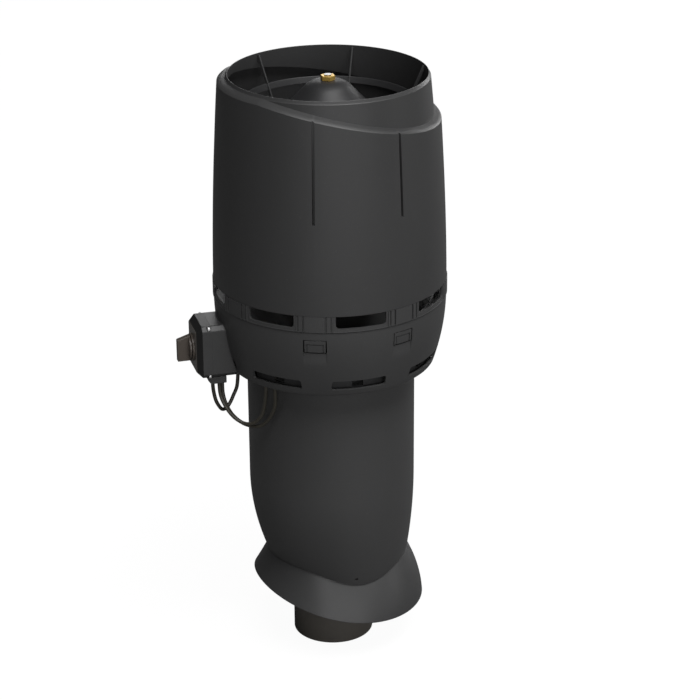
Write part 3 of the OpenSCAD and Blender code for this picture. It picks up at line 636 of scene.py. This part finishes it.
def open_up(bm, middle, half, low, high, corner):
    """Cuts one opening: half is half its width and corner the radius of its corners, along the wall."""
    def local(co):
        r, a, z = polar(co)
        return ((a - middle + 180) % 360 - 180) * radians(1) * r, z, r

    doomed = []
    for f in bm.faces:
        x, z, r = local(f.calc_center_median())
        if abs(x) < half and low < z < high:
            cx, cz = max(abs(x) - (half - corner), 0), max(low + corner - z, z - (high - corner), 0)
            if hypot(cx, cz) < corner:
                doomed.append(f)
    rim = {v for f in doomed for v in f.verts}
    bmesh.ops.delete(bm, geom=doomed, context="FACES")
    for v in rim:
        if v.is_valid and v.link_faces:
            x, z, r = local(v.co)
            nx, nz = nearest_on(x, z, half, low, high, corner)
            if z >= high - 0.01 and high > RING:
                continue
            r += bowl_r(nz) - bowl_r(z) if nz < LIP else 0
            v.co = at(r, middle + degrees(nx / r), nz)


for k in range(8):
    open_up(bowl, 45 * k, radians(WINDOW_SPAN) * (LIP_R - 1.1), WINDOW_LOW, RING + 8, WINDOW_CORNER)
    open_up(bowl, 45 * k, radians(VENT_SPAN) * bowl_r(431), VENT_LOW, VENT_HIGH, VENT_CORNER)
for middle in LATCHES.values():
    open_up(bowl, middle, radians(LATCH_SPAN) * bowl_r(489), LATCH_LOW, LATCH_HIGH, 0.6)
outward(bowl)
bmesh.ops.solidify(bowl, geom=bowl.faces[:], thickness=BOWL_WALL * MM)
bmesh.ops.recalc_face_normals(bowl, faces=bowl.faces)
# The bowl's grey is painted a little lighter, as painted light.
bowl = piece("Bowl_shell", bowl, "base", GREY_PAINTED_LIGHTER, ["base_bowl"])

# %% [markdown]
# Inside, the bowl has a floor round the pipe, a baffle with a notch behind each vent, so that no rain
# blows in, a web beside every vent that ties the baffle to the wall, and eight tongues that the hood
# drops over.

# %% Floor, baffles and tongues of the bowl
PIPE_GAP, FLOOR_R, BAFFLE = 116.0, 135.2, 133.2
baffle_parts = [(417, 444.5, -9.85, 13.3), (417, 444.5, 9.85, 13.3), (417, 425.5, 0, 6.5),
                (436.9, 444.5, 0, 6.5)]
web = [(BAFFLE - 1, 418), (137.5, 418), (140.6, 426), (144.2, 440), (BAFFLE - 1, 440)]
tongue = [(147.95, 504), (153.4, 504), (153.4, 511), (150.95, 511), (150.95, 541.5), (150.2, 543.5),
          (147.95, 543.5)]


def ring_of(r0, r1, z0, z1):
    return [(r0, z0), (r1, z0), (r1, z1), (r0, z1)]


inner_parts = [lathe(ring_of(PIPE_GAP, FLOOR_R, 415.7, 418), 144)]
for k in range(8):
    for low, high, middle, sweep in baffle_parts:
        inner_parts.append(sector(ring_of(BAFFLE - 1.8, BAFFLE, low, high), 45 * k + middle, sweep))
    inner_parts.append(sector(web, 45 * k + 22.5, 0.8, 2))
    inner_parts.append(round_edges(sector(tongue, 45 * k + 22.5, 10), 0.6, 2, 50))
# The floor, baffles, webs and tongues are painted dark as painted shade, for the shadow inside the vents.
inner_parts = piece("Bowl_inner", together(inner_parts), "base", DARK_AND_PAINTED_SHADE, ["base_bowl"])

# %% [markdown]
# A latch is a small springy pad in its own opening. An upside-down U is grooved into it, and the tongue
# inside the U is set back, so a thumb can press it in. A clear gap all round draws it as a dark outline.

# %% Latches
latch_columns = [-5.2, -5.05, -4.4, -4.25, -3.85, -3.6, -1.5, 1.5, 3.6, 3.85, 4.25, 4.4, 5.05, 5.2]
latch_heights = [481.5, 481.9, 483, 486, 489, 491.6, 492.0, 492.8, 493.2, 494.3, 495.8, 497.6, 498.0]
PAD_SPUN = 13.0


def latch_at(row, a, middle):
    z = latch_heights[row]
    k = round((a - middle + PAD_SPUN / 2) / (PAD_SPUN / (len(latch_columns) - 1)))
    angle = latch_columns[max(0, min(len(latch_columns) - 1, k))]
    r = bowl_r(z) - 0.3
    if abs(angle) < 4.3 and z < 493:
        r -= 0.35 if abs(angle) < 3.8 and z < 491.8 else 1.4
    if abs(angle) > 5.1 or z < 481.6 or z > 497.8:
        r -= 0.5
    return at(r, middle + angle, z)


for node, middle in LATCHES.items():
    pad = spun(len(latch_heights), len(latch_columns) - 1, lambda row, a: latch_at(row, a, middle),
               sweep=PAD_SPUN, start=middle - PAD_SPUN / 2)
    outside = sum(f.normal.dot(f.calc_center_median() * Vector((1, 1, 0))) for f in pad.faces)
    if outside < 0:
        bmesh.ops.reverse_faces(pad, faces=pad.faces)
    bmesh.ops.solidify(pad, geom=pad.faces[:], thickness=2.4 * MM)
    bmesh.ops.recalc_face_normals(pad, faces=pad.faces)
    # The pad's grey is painted a little lighter, as painted light.
    piece(node + "_pad", pad, bodies[node], GREY_PAINTED_LIGHTER, [node])

# %% [markdown]
# The hood is the cover that lifts off. Its side narrows slightly upwards, then a rounded shoulder steps
# in to the mouth. The shoulder climbs round the hood from a low point on the right to almost the rim on
# the left, so its rows are stretched to a height that depends on the angle. Inside, the mouth's wall runs
# on below the shoulder as a drip lip.

# %% Hood
HOOD_Z, HOOD_R, HOOD_IN, HOOD_WALL, RIM = 531.5, 154.4, 11.3, 3.0, 807.0
MOUTH, SHOULDER, RISE, ROUND, RIM_BAND, DRIP = 131.6, 776.0, 27.5, 5.0, 4.4, 6.5
SLOT_LOW, SLOT_FLOOR, SLOT_HALF = HOOD_Z + 121.2, 142.5, 0.68


def side_r(z):
    return HOOD_R - HOOD_IN * (max(0.0, z - HOOD_Z) / 257.5) ** 1.6


def mouth_r(z):
    return MOUTH + (RIM - z) * 0.093


def step_z(a):
    return min(SHOULDER + 22, SHOULDER - RISE * cos(radians(a + 9)) + 3 * cos(radians(2 * (a + 135))))


side_heights = [0, 0.8, 2.2, 12, 30, 50, 70, 95, 116, 121, 135, 150, 165]
outer = [("low", h, 0) for h in side_heights]
outer += [("side", f, 0) for f in (0.83, 0.88, 0.93, 0.97, 1)]
outer += [("arc", q, 0) for q in (12, 25, 38, 51, 64, 77, 90)] + [("neck", k / 5, 0) for k in range(6)]
outer += [("rim", -4.1, 0.1), ("rim", -2.9, 0.75), ("rim", -1.5, 1.4), ("rim", -0.25, 1.95), ("rim", 0, 2.2),
          ("rim", 0, 2.5), ("rim", -0.3, 2.8)]
inner = [("neck", 1 - k / 5, HOOD_WALL - 0.2) for k in range(6)]
inner += [("drip", 1, 2.8), ("drip", 1, 1.6), ("drip", 0, 1.6)]
inner += [("arc", q, HOOD_WALL) for q in (64, 38, 12)]
inner += [("side", f, HOOD_WALL) for f in (0.97, 0.88)]
inner += [("low", h, HOOD_WALL) for h in reversed(side_heights[2:])]
inner += [("low", 0, HOOD_WALL - 0.4), ("low", 0, 0.5)]
hood_rows = outer + inner


def hood_at(row, a):
    kind, f, inset = hood_rows[row]
    step = step_z(a)
    for slot_a in LATCHES.values():
        if 0.1 < abs(a - slot_a) < 1.4:
            a = slot_a + (SLOT_HALF if a > slot_a else -SLOT_HALF)
    near_slot = any(abs(a - s) < 0.8 for s in LATCHES.values())
    if kind in ("low", "side"):
        z = HOOD_Z + f if kind == "low" else HOOD_Z + (step - HOOD_Z) * f
        r = side_r(z) - inset
        if inset > 2.5 and near_slot and z > HOOD_Z + 116.5:
            r = min(r, SLOT_FLOOR - 2.5)
        return at(r, a, z)
    if kind == "arc":
        wide, narrow = side_r(step) - inset, mouth_r(step + ROUND) - inset + 1.2
        out, rise = (0.35 * curve + 0.65 * flat for curve, flat in
                     ((cos(radians(f)), 1 - f / 90), (sin(radians(f)), f / 90)))
        return at(narrow + (wide - narrow) * out, a, step + ROUND * rise - inset * 0.9)
    if kind == "neck":
        z0 = step + ROUND - inset * 0.9 + 0.6
        z = z0 + (RIM - RIM_BAND - z0) * f
    elif kind == "drip":
        z = step + ROUND - HOOD_WALL * 0.9 - DRIP * f
    else:
        return at(MOUTH - inset, a, RIM + f)
    return at(mouth_r(z) - inset, a, z)


hood = spun(len(hood_rows), 288, hood_at, closed=True)

# %% [markdown]
# Two guide slots show on the front and two more are at the back. Each is a channel of one width whose
# floor is upright, so it gets deeper downwards, as the side comes out. The faces between its two columns
# are inset by a hair, and the inner ones pushed back to the floor.

# %% Guide slots
for middle in LATCHES.values():
    strip = []
    for f in hood.faces:
        r, a, z = polar(f.calc_center_median())
        if abs(a - middle) < SLOT_HALF and z > SLOT_LOW and min(polar(v.co)[0] for v in f.verts) > SLOT_FLOOR:
            if f.normal.dot(at(1, a, 0)) > 0:
                strip.append(f)
    bmesh.ops.inset_region(hood, faces=strip, thickness=0.2 * MM, use_boundary=True, use_even_offset=True)
    for v in {v for f in strip for v in f.verts}:
        r, a, z = polar(v.co)
        v.co = at(min(r - 0.3, SLOT_FLOOR), a, z)
hood = piece("Hood_shell", hood, "head", BODY, ["hood"])

# %% [markdown]
# Inside the mouth a ring splits the outgoing air, and six thin struts run from the wall down to the cone.
# A strut is one outline, extruded to its thickness and turned round the axis six times.

# %% Diffuser ring and struts
ring = lathe([(109.0, 761.0), (112.2, 768.5), (113.0, 769.0), (114.3, 768.6), (111.0, 760.2)], 180)
round_edges(ring, 0.35, 2, 30)
# The ring is painted dark as painted shade, for the shade on its inner face.
ring = piece("Diffuser_ring", ring, "head", DARK_AND_PAINTED_SHADE, ["diffuser_ring"])

strut_line = [(126.9, 805.2), (128.6, 805.2), (129.1, 799.6), (92.0, 717.6), (89.5, 721.5)]
STRUT = 2.2
struts = bmesh.new()
for k in range(6):
    turn = Matrix.Rotation(radians(60 * k - 60), 4, "Z")
    outline = [struts.verts.new(turn @ (Vector((r, -STRUT / 2, z)) * MM)) for r, z in strut_line]
    plate = bmesh.ops.extrude_face_region(struts, geom=[struts.faces.new(outline)])
    moved = [v for v in plate["geom"] if isinstance(v, bmesh.types.BMVert)]
    bmesh.ops.translate(struts, verts=moved, vec=turn.to_3x3() @ Vector((0, STRUT * MM, 0)))
outward(struts)
round_edges(struts, 0.5, 2, 30)
struts = piece("Mouth_struts", struts, "head", BODY, ["hood_struts"])

# %% [markdown]
# The cone over the motor catches a broad highlight, which shows every kink. Its outline is therefore a
# smooth line through a few measured points and not straight pieces.

# %% Cone
CONE, PLATE, CAN_WALL = 796.5, 650.0, 2.5
cone_points = [(11, 0), (15, -0.4), (20, -1.7), (25.3, -4.3), (30, -8.0), (37.5, -16), (47.4, -26),
               (61, -39.7), (76, -55), (90, -69.5), (97, -78.5), (99.6, -86), (100, -92)]
cone_line = [(r, CONE + dz) for r, dz in smooth(cone_points)]
inside = [(r - 1.9, z - 1.9) for r, z in reversed(cone_line) if z > 712]
profile = [(5.0, CONE)] + cone_line + [(100, 680), (100, PLATE), (97.5, PLATE), (97.5, 700)]
profile += inside + [(10, CONE - CAN_WALL), (5.0, CONE - CAN_WALL)]
cone = lathe(profile, 160)
cone = piece("Motor_cone", cone, "head", DARK_AND_PAINTED_SHADE, ["motor_cone"], sharp=50)

# %% [markdown]
# The brass nut is a six-sided prism whose top corners are turned off. Its bore shows the end of the
# tie rod.

# %% Nut
NUT, NUT_H = 9.8, 6.4
nut = bmesh.new()
bmesh.ops.create_cone(nut, cap_ends=True, segments=6, radius1=NUT * MM, radius2=NUT * MM, depth=NUT_H * MM,
                      matrix=Matrix.Translation((0, 0, (CONE + NUT_H / 2) * MM)))
caps = [e for e in nut.edges if abs(e.verts[0].co.z - e.verts[1].co.z) < 1e-6]
bmesh.ops.bevel(nut, geom=caps, offset=1.1 * MM, segments=3, profile=0.5, affect="EDGES", material=-1)
top = max(nut.faces, key=lambda f: f.calc_center_median().z)
bmesh.ops.inset_region(nut, faces=[top], thickness=1.2 * MM, use_even_offset=True)
bmesh.ops.inset_region(nut, faces=[top], thickness=0.3 * MM, depth=-0.4 * MM)
outward(nut)
nut = piece("Cone_nut", nut, "head", BRASS, ["cone_nut"], sharp=25)

# %% [markdown]
# The switch box is clipped to the bowl, and its back follows the bowl's curve. A block with bevelled
# edges is cut into a grid, and the grid is stretched until its back layer lies on the bowl.

# %% Switch box
BOX_W, BOX_H, BOX_Z, BEVEL = 60.0, 73.0, 448.5, 5.6
SEAM, COVER, SLOPE = 168.0, 12.5, 8.0
FACE = SEAM + COVER + SLOPE


def block(x0, x1, y0, y1, z0, z1):
    """A block between two planes each way, in millimetres."""
    bm = bmesh.new()
    size = Matrix.Diagonal(((x1 - x0) * MM, (y1 - y0) * MM, (z1 - z0) * MM, 1))
    middle = Vector((x0 + x1, y0 + y1, z0 + z1)) * MM / 2
    bmesh.ops.create_cube(bm, size=1, matrix=Matrix.Translation(middle) @ size)
    return bm


def lengthwise(e):
    """Whether an edge runs out from the bowl."""
    return abs((e.verts[0].co - e.verts[1].co).x) > 0.01


def slice_at(bm, point, normal, clear=False):
    """Cuts a shape through with a plane. clear takes off what is beyond it and closes the cut."""
    whole = bm.verts[:] + bm.edges[:] + bm.faces[:]
    cut = bmesh.ops.bisect_plane(bm, geom=whole, plane_co=point, plane_no=normal, clear_outer=clear)
    if clear:
        edges = [e for e in cut["geom_cut"] if isinstance(e, bmesh.types.BMEdge)]
        bmesh.ops.contextual_create(bm, geom=edges)


BACK = 40.0
box = block(-SEAM, -SEAM + BACK, -BOX_W / 2, BOX_W / 2, BOX_Z - BOX_H / 2, BOX_Z + BOX_H / 2)
round_edges(box, BEVEL, 1, 40, lengthwise)
round_edges(box, 0.8, 2, 30, lengthwise)
bmesh.ops.subdivide_edges(box, edges=[e for e in box.edges if lengthwise(e)], cuts=8, use_grid_fill=True)
for level in range(1, 12):
    slice_at(box, (0, 0, (BOX_Z - BOX_H / 2 + BOX_H * level / 12) * MM), (0, 0, 1))
for level in range(1, 9):
    slice_at(box, (0, (-BOX_W / 2 + BOX_W * level / 9) * MM, 0), (0, 1, 0))
for v in box.verts:
    share = (v.co.x / MM + SEAM) / BACK
    reach = sqrt((bowl_r(v.co.z / MM) - 0.3) ** 2 - (v.co.y / MM) ** 2)
    v.co.x = (-SEAM + (SEAM - reach) * share) * MM
outward(box)
box = piece("Switch_box", box, "base", BOX, ["switch_box"])

# %% [markdown]
# The cover closes the box. Its long edges are bevelled like the box's, and its face is set in on four
# sloped sides, which is one inset with a height.

# %% Switch cover
cover = block(-SEAM - COVER, -SEAM - 0.1, -BOX_W / 2, BOX_W / 2, BOX_Z - BOX_H / 2, BOX_Z + BOX_H / 2)
round_edges(cover, BEVEL, 1, 40, lengthwise)
front = min(cover.faces, key=lambda f: f.calc_center_median().x)
bmesh.ops.inset_region(cover, faces=[front], thickness=SLOPE * MM, depth=SLOPE * MM, use_even_offset=True)
round_edges(cover, 0.8, 2, 20, lambda e: min(v.co.x for v in e.verts) < (-SEAM - 1) * MM)
outward(cover)
cover = piece("Switch_cover", cover, "base", COVER_PAINTED_LIGHT_AND_SHADE, ["switch_cover"])

# %% [markdown]
# Four screws stand in round pockets at the cover's corners, which the bevel lays half open. A pocket, a
# screw's slot and the two screw holes of the pipe's foot are Booleans, because a small round cut across
# an edge would need many hand-made faces.

# %% Corner pockets, screws and holes


def subtract(target, bm):
    """Takes a shape out of a piece and keeps the result as its mesh."""
    mesh = bpy.data.meshes.new("cutter")
    bm.to_mesh(mesh)
    bm.free()
    cutter = bpy.data.objects.new("cutter", mesh)
    bpy.context.scene.collection.objects.link(cutter)
    target.modifiers.clear()
    cut = target.modifiers.new("Cut", "BOOLEAN")
    cut.operation, cut.solver, cut.object = "DIFFERENCE", "EXACT", cutter
    seen = target.evaluated_get(bpy.context.evaluated_depsgraph_get())
    result = bpy.data.meshes.new_from_object(seen)
    target.modifiers.clear()
    target.data = result
    bpy.data.objects.remove(cutter)
    shade(target)


SCREW_IN, SCREW_R, SCREW_TOP, POCKET_R, FOOT_HOLE = 3.2, 3.0, 5.0, 3.6, 2.2
sideways = Matrix.Rotation(radians(90), 4, "Y")
across, upright = BOX_W / 2 - SCREW_IN, BOX_H / 2 - SCREW_IN
corners = [Vector((0, sy * across, BOX_Z + sz * upright)) for sy in (-1, 1) for sz in (-1, 1)]


def bar_of(bm, place, r, length, segments):
    """A round bar in a given place, r and length in millimetres."""
    bmesh.ops.create_cone(bm, cap_ends=True, segments=segments, radius1=r * MM, radius2=r * MM,
                          depth=length * MM, matrix=place @ sideways)


def bars_at_corners(x0, x1, r):
    """A bar along X at each corner of the cover, from SEAM + x1 out to SEAM + x0."""
    bm = bmesh.new()
    for corner in corners:
        middle = corner - Vector((SEAM + (x0 + x1) / 2, 0, 0))
        bar_of(bm, Matrix.Translation(middle * MM), r, x0 - x1, 32)
    return bm


holes = bmesh.new()
for a in (-86, 94):
    on_foot = Matrix.Translation(at(edge_r(a) + 4, a, edge_z(a) + 10)) @ Matrix.Rotation(radians(a), 4, "Z")
    bar_of(holes, on_foot, FOOT_HOLE, 30, 24)
subtract(pipe, holes)
subtract(cover, bars_at_corners(6.5, 1.5, POCKET_R))
screws = outward(round_edges(bars_at_corners(SCREW_TOP, 2.2, SCREW_R), 0.6, 2, 60))
slots = bmesh.new()
size = Matrix.Diagonal((1.6 * MM, 4.2 * MM, 0.8 * MM, 1))
for corner in corners:
    place = Matrix.Translation((corner - Vector((SEAM + SCREW_TOP, 0, 0))) * MM)
    bmesh.ops.create_cube(slots, size=1, matrix=place @ Matrix.Rotation(radians(35), 4, "X") @ size)
outward(slots)
screws = piece("Cover_screws", screws, "base", BRIGHT, ["cover_screws"])
subtract(screws, slots)
print("cover screws:", len(screws.data.polygons), "faces")

# %% [markdown]
# The knob is a grip bar on a round collar. The bar's upper end slopes, which shows from a distance
# whether the switch is on.

# %% Collar and knob
COLLAR, BAR_H, BAR_T, BAR_OUT = 18.4, 36.0, 8.5, 17.5


def onto_switch(bm):
    place = Matrix.Translation(Vector((0, 0, BOX_Z)) * MM) @ Matrix.Rotation(radians(-90), 4, "Y")
    bmesh.ops.transform(bm, matrix=place, verts=bm.verts)
    return outward(bm)


collar = lathe([(4.2, FACE - 3.8), (5.7, FACE - 3.8), (5.7, FACE + 0.1), (COLLAR, FACE + 0.1),
                (COLLAR, FACE + 2.2), (COLLAR - 0.8, FACE + 3), (COLLAR - 2.2, FACE + 3),
                (COLLAR - 2.6, FACE + 2.5), (4.2, FACE + 2.5)], 96)
collar = onto_switch(collar)
round_edges(collar, 0.3, 2, 35)
collar = piece("Switch_collar", collar, "base", KNOB, ["switch_collar"])

knob = lathe([(4.1, FACE + 3.4), (COLLAR - 3.4, FACE + 3.4), (COLLAR - 3, FACE + 3.8),
              (COLLAR - 3, FACE + 5.4), (COLLAR - 3.7, FACE + 6), (4.1, FACE + 6)], 96)
knob = onto_switch(knob)
root = -FACE - 3.4
bar = block(root - BAR_OUT, root, -BAR_T / 2, BAR_T / 2, BOX_Z - BAR_H / 2, BOX_Z + BAR_H / 2)
tip = Vector((root - BAR_OUT, 0, BOX_Z + BAR_H / 2 - 6)) * MM
slice_at(bar, tip, Vector((-sin(radians(18)), 0, cos(radians(18)))), clear=True)
outward(bar)
round_edges(bar, 1.0, 3, 30)
knob = piece("Switch_knob", together([knob, bar]), "knob", KNOB, ["switch_knob"])

# %% [markdown]
# The gland is a small clamp block under the box, from whose lower face the three cables come. Its outer
# lower corner is sloped.

# %% Cable gland
GLAND_X = 161.5
gland = block(-GLAND_X - 12.5, -GLAND_X + 12.5, -25, -3, GLAND, 411.8)
slice_at(gland, Vector((-GLAND_X - 8.5, 0, GLAND)) * MM, Vector((-0.82, 0, -0.57)), clear=True)
outward(gland)
round_edges(gland, 0.9, 3, 30)
gland = piece("Cable_gland", gland, "base", BOX, ["cable_gland"])

# %% [markdown]
# The solids that stay get the same finishes, chosen by the slot that the drawing gives them.

# %% Finishes of the carried-over solids
by_slot = {"body": BODY, "dark": DARK_AND_PAINTED_SHADE, "duct": DUCT, "foam": FOAM, "steel": STEEL, "copper": COPPER,
           "brass": BRASS, "knob": KNOB, "cable": SHEATH}
for name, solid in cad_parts.items():
    for material_slot in solid.material_slots:
        material_slot.material = by_slot[material_slot.material.name.split(".")[0]]

# %% [markdown]
# The stage is a plain pale floor under soft light, such as a studio with a row of large soft lamps: most
# of the light comes from the front, right of the camera, and from above, two lamps at the back right
# draw the right edges, and the left stays dark. To the camera the floor glows, so it stays white and
# still shows the fan's shadow; to everything else it is grey, or it would light the fan from below.

# %% Stage
floor_mesh = bmesh.new()
bmesh.ops.create_grid(floor_mesh, x_segments=1, y_segments=1, size=30)
mesh = bpy.data.meshes.new("Floor")
floor_mesh.to_mesh(mesh)
floor_mesh.free()
floor = bpy.data.objects.new("Floor", mesh)
bpy.context.scene.collection.objects.link(floor)
paper = Finish("Paper_floor", Roughness=0.9)
ray = paper.node("ShaderNodeLightPath", output="Is Camera Ray")
paper.set(Base_Color=ray * 0.5 + 0.12)
glow = paper.node("ShaderNodeEmission", {}, {"Color": (1, 1, 1, 1), "Strength": 1.08})
lit = Value(paper, paper.shader.outputs[0])
mixed = paper.node("ShaderNodeMixShader", {}, {0: ray * 0.88, 1: lit, 2: glow})
paper.tree.links.new(mixed.socket, paper.tree.nodes["Material Output"].inputs["Surface"])
mesh.materials.append(paper.material)

world = bpy.data.worlds.new("Studio")
bpy.context.scene.world = world
world.use_nodes = True
tree = world.node_tree
background = tree.nodes["Background"]
path = tree.nodes.new("ShaderNodeLightPath")
strength = tree.nodes.new("ShaderNodeMapRange")
tree.links.new(path.outputs["Is Camera Ray"], strength.inputs["Value"])
strength.inputs["To Min"].default_value = 0.05
strength.inputs["To Max"].default_value = 1.0
tree.links.new(strength.outputs[0], background.inputs["Strength"])
background.inputs["Color"].default_value = (1, 1, 1, 1)
print("floor and world made")

# %% [markdown]
# A lamp is given by its direction round the fan, its height in degrees and its power. Each is 3.2 m wide
# and stands 7 m away, so it lights the fan evenly from top to bottom, as a lamp in a large studio does.

# %% Lamps
LAMP_AWAY, LAMP_WIDE, AIM = 7000.0, 3200.0, 450.0
lamps = [(-105, 12, 82), (-75, 12, 71), (-25, 12, 44), (35, 12, 122), (75, 12, 66),
         (-105, 62, 192), (-60, 62, 186), (-15, 62, 82)]
for a, raised, power in lamps:
    light = bpy.data.lights.new(f"Lamp_{a}_{raised}", "AREA")
    light.shape, light.size, light.energy = "DISK", LAMP_WIDE * MM, power
    made = bpy.data.objects.new(light.name, light)
    made.location = at(LAMP_AWAY * cos(radians(raised)), a, AIM + LAMP_AWAY * sin(radians(raised)))
    made.rotation_mode = "QUATERNION"
    made.rotation_quaternion = (Vector((0, 0, AIM * MM)) - made.location).to_track_quat("-Z", "Y")
    bpy.context.scene.collection.objects.link(made)
bpy.context.scene.view_settings.view_transform = "Standard"
print("lamps:", len(lamps))
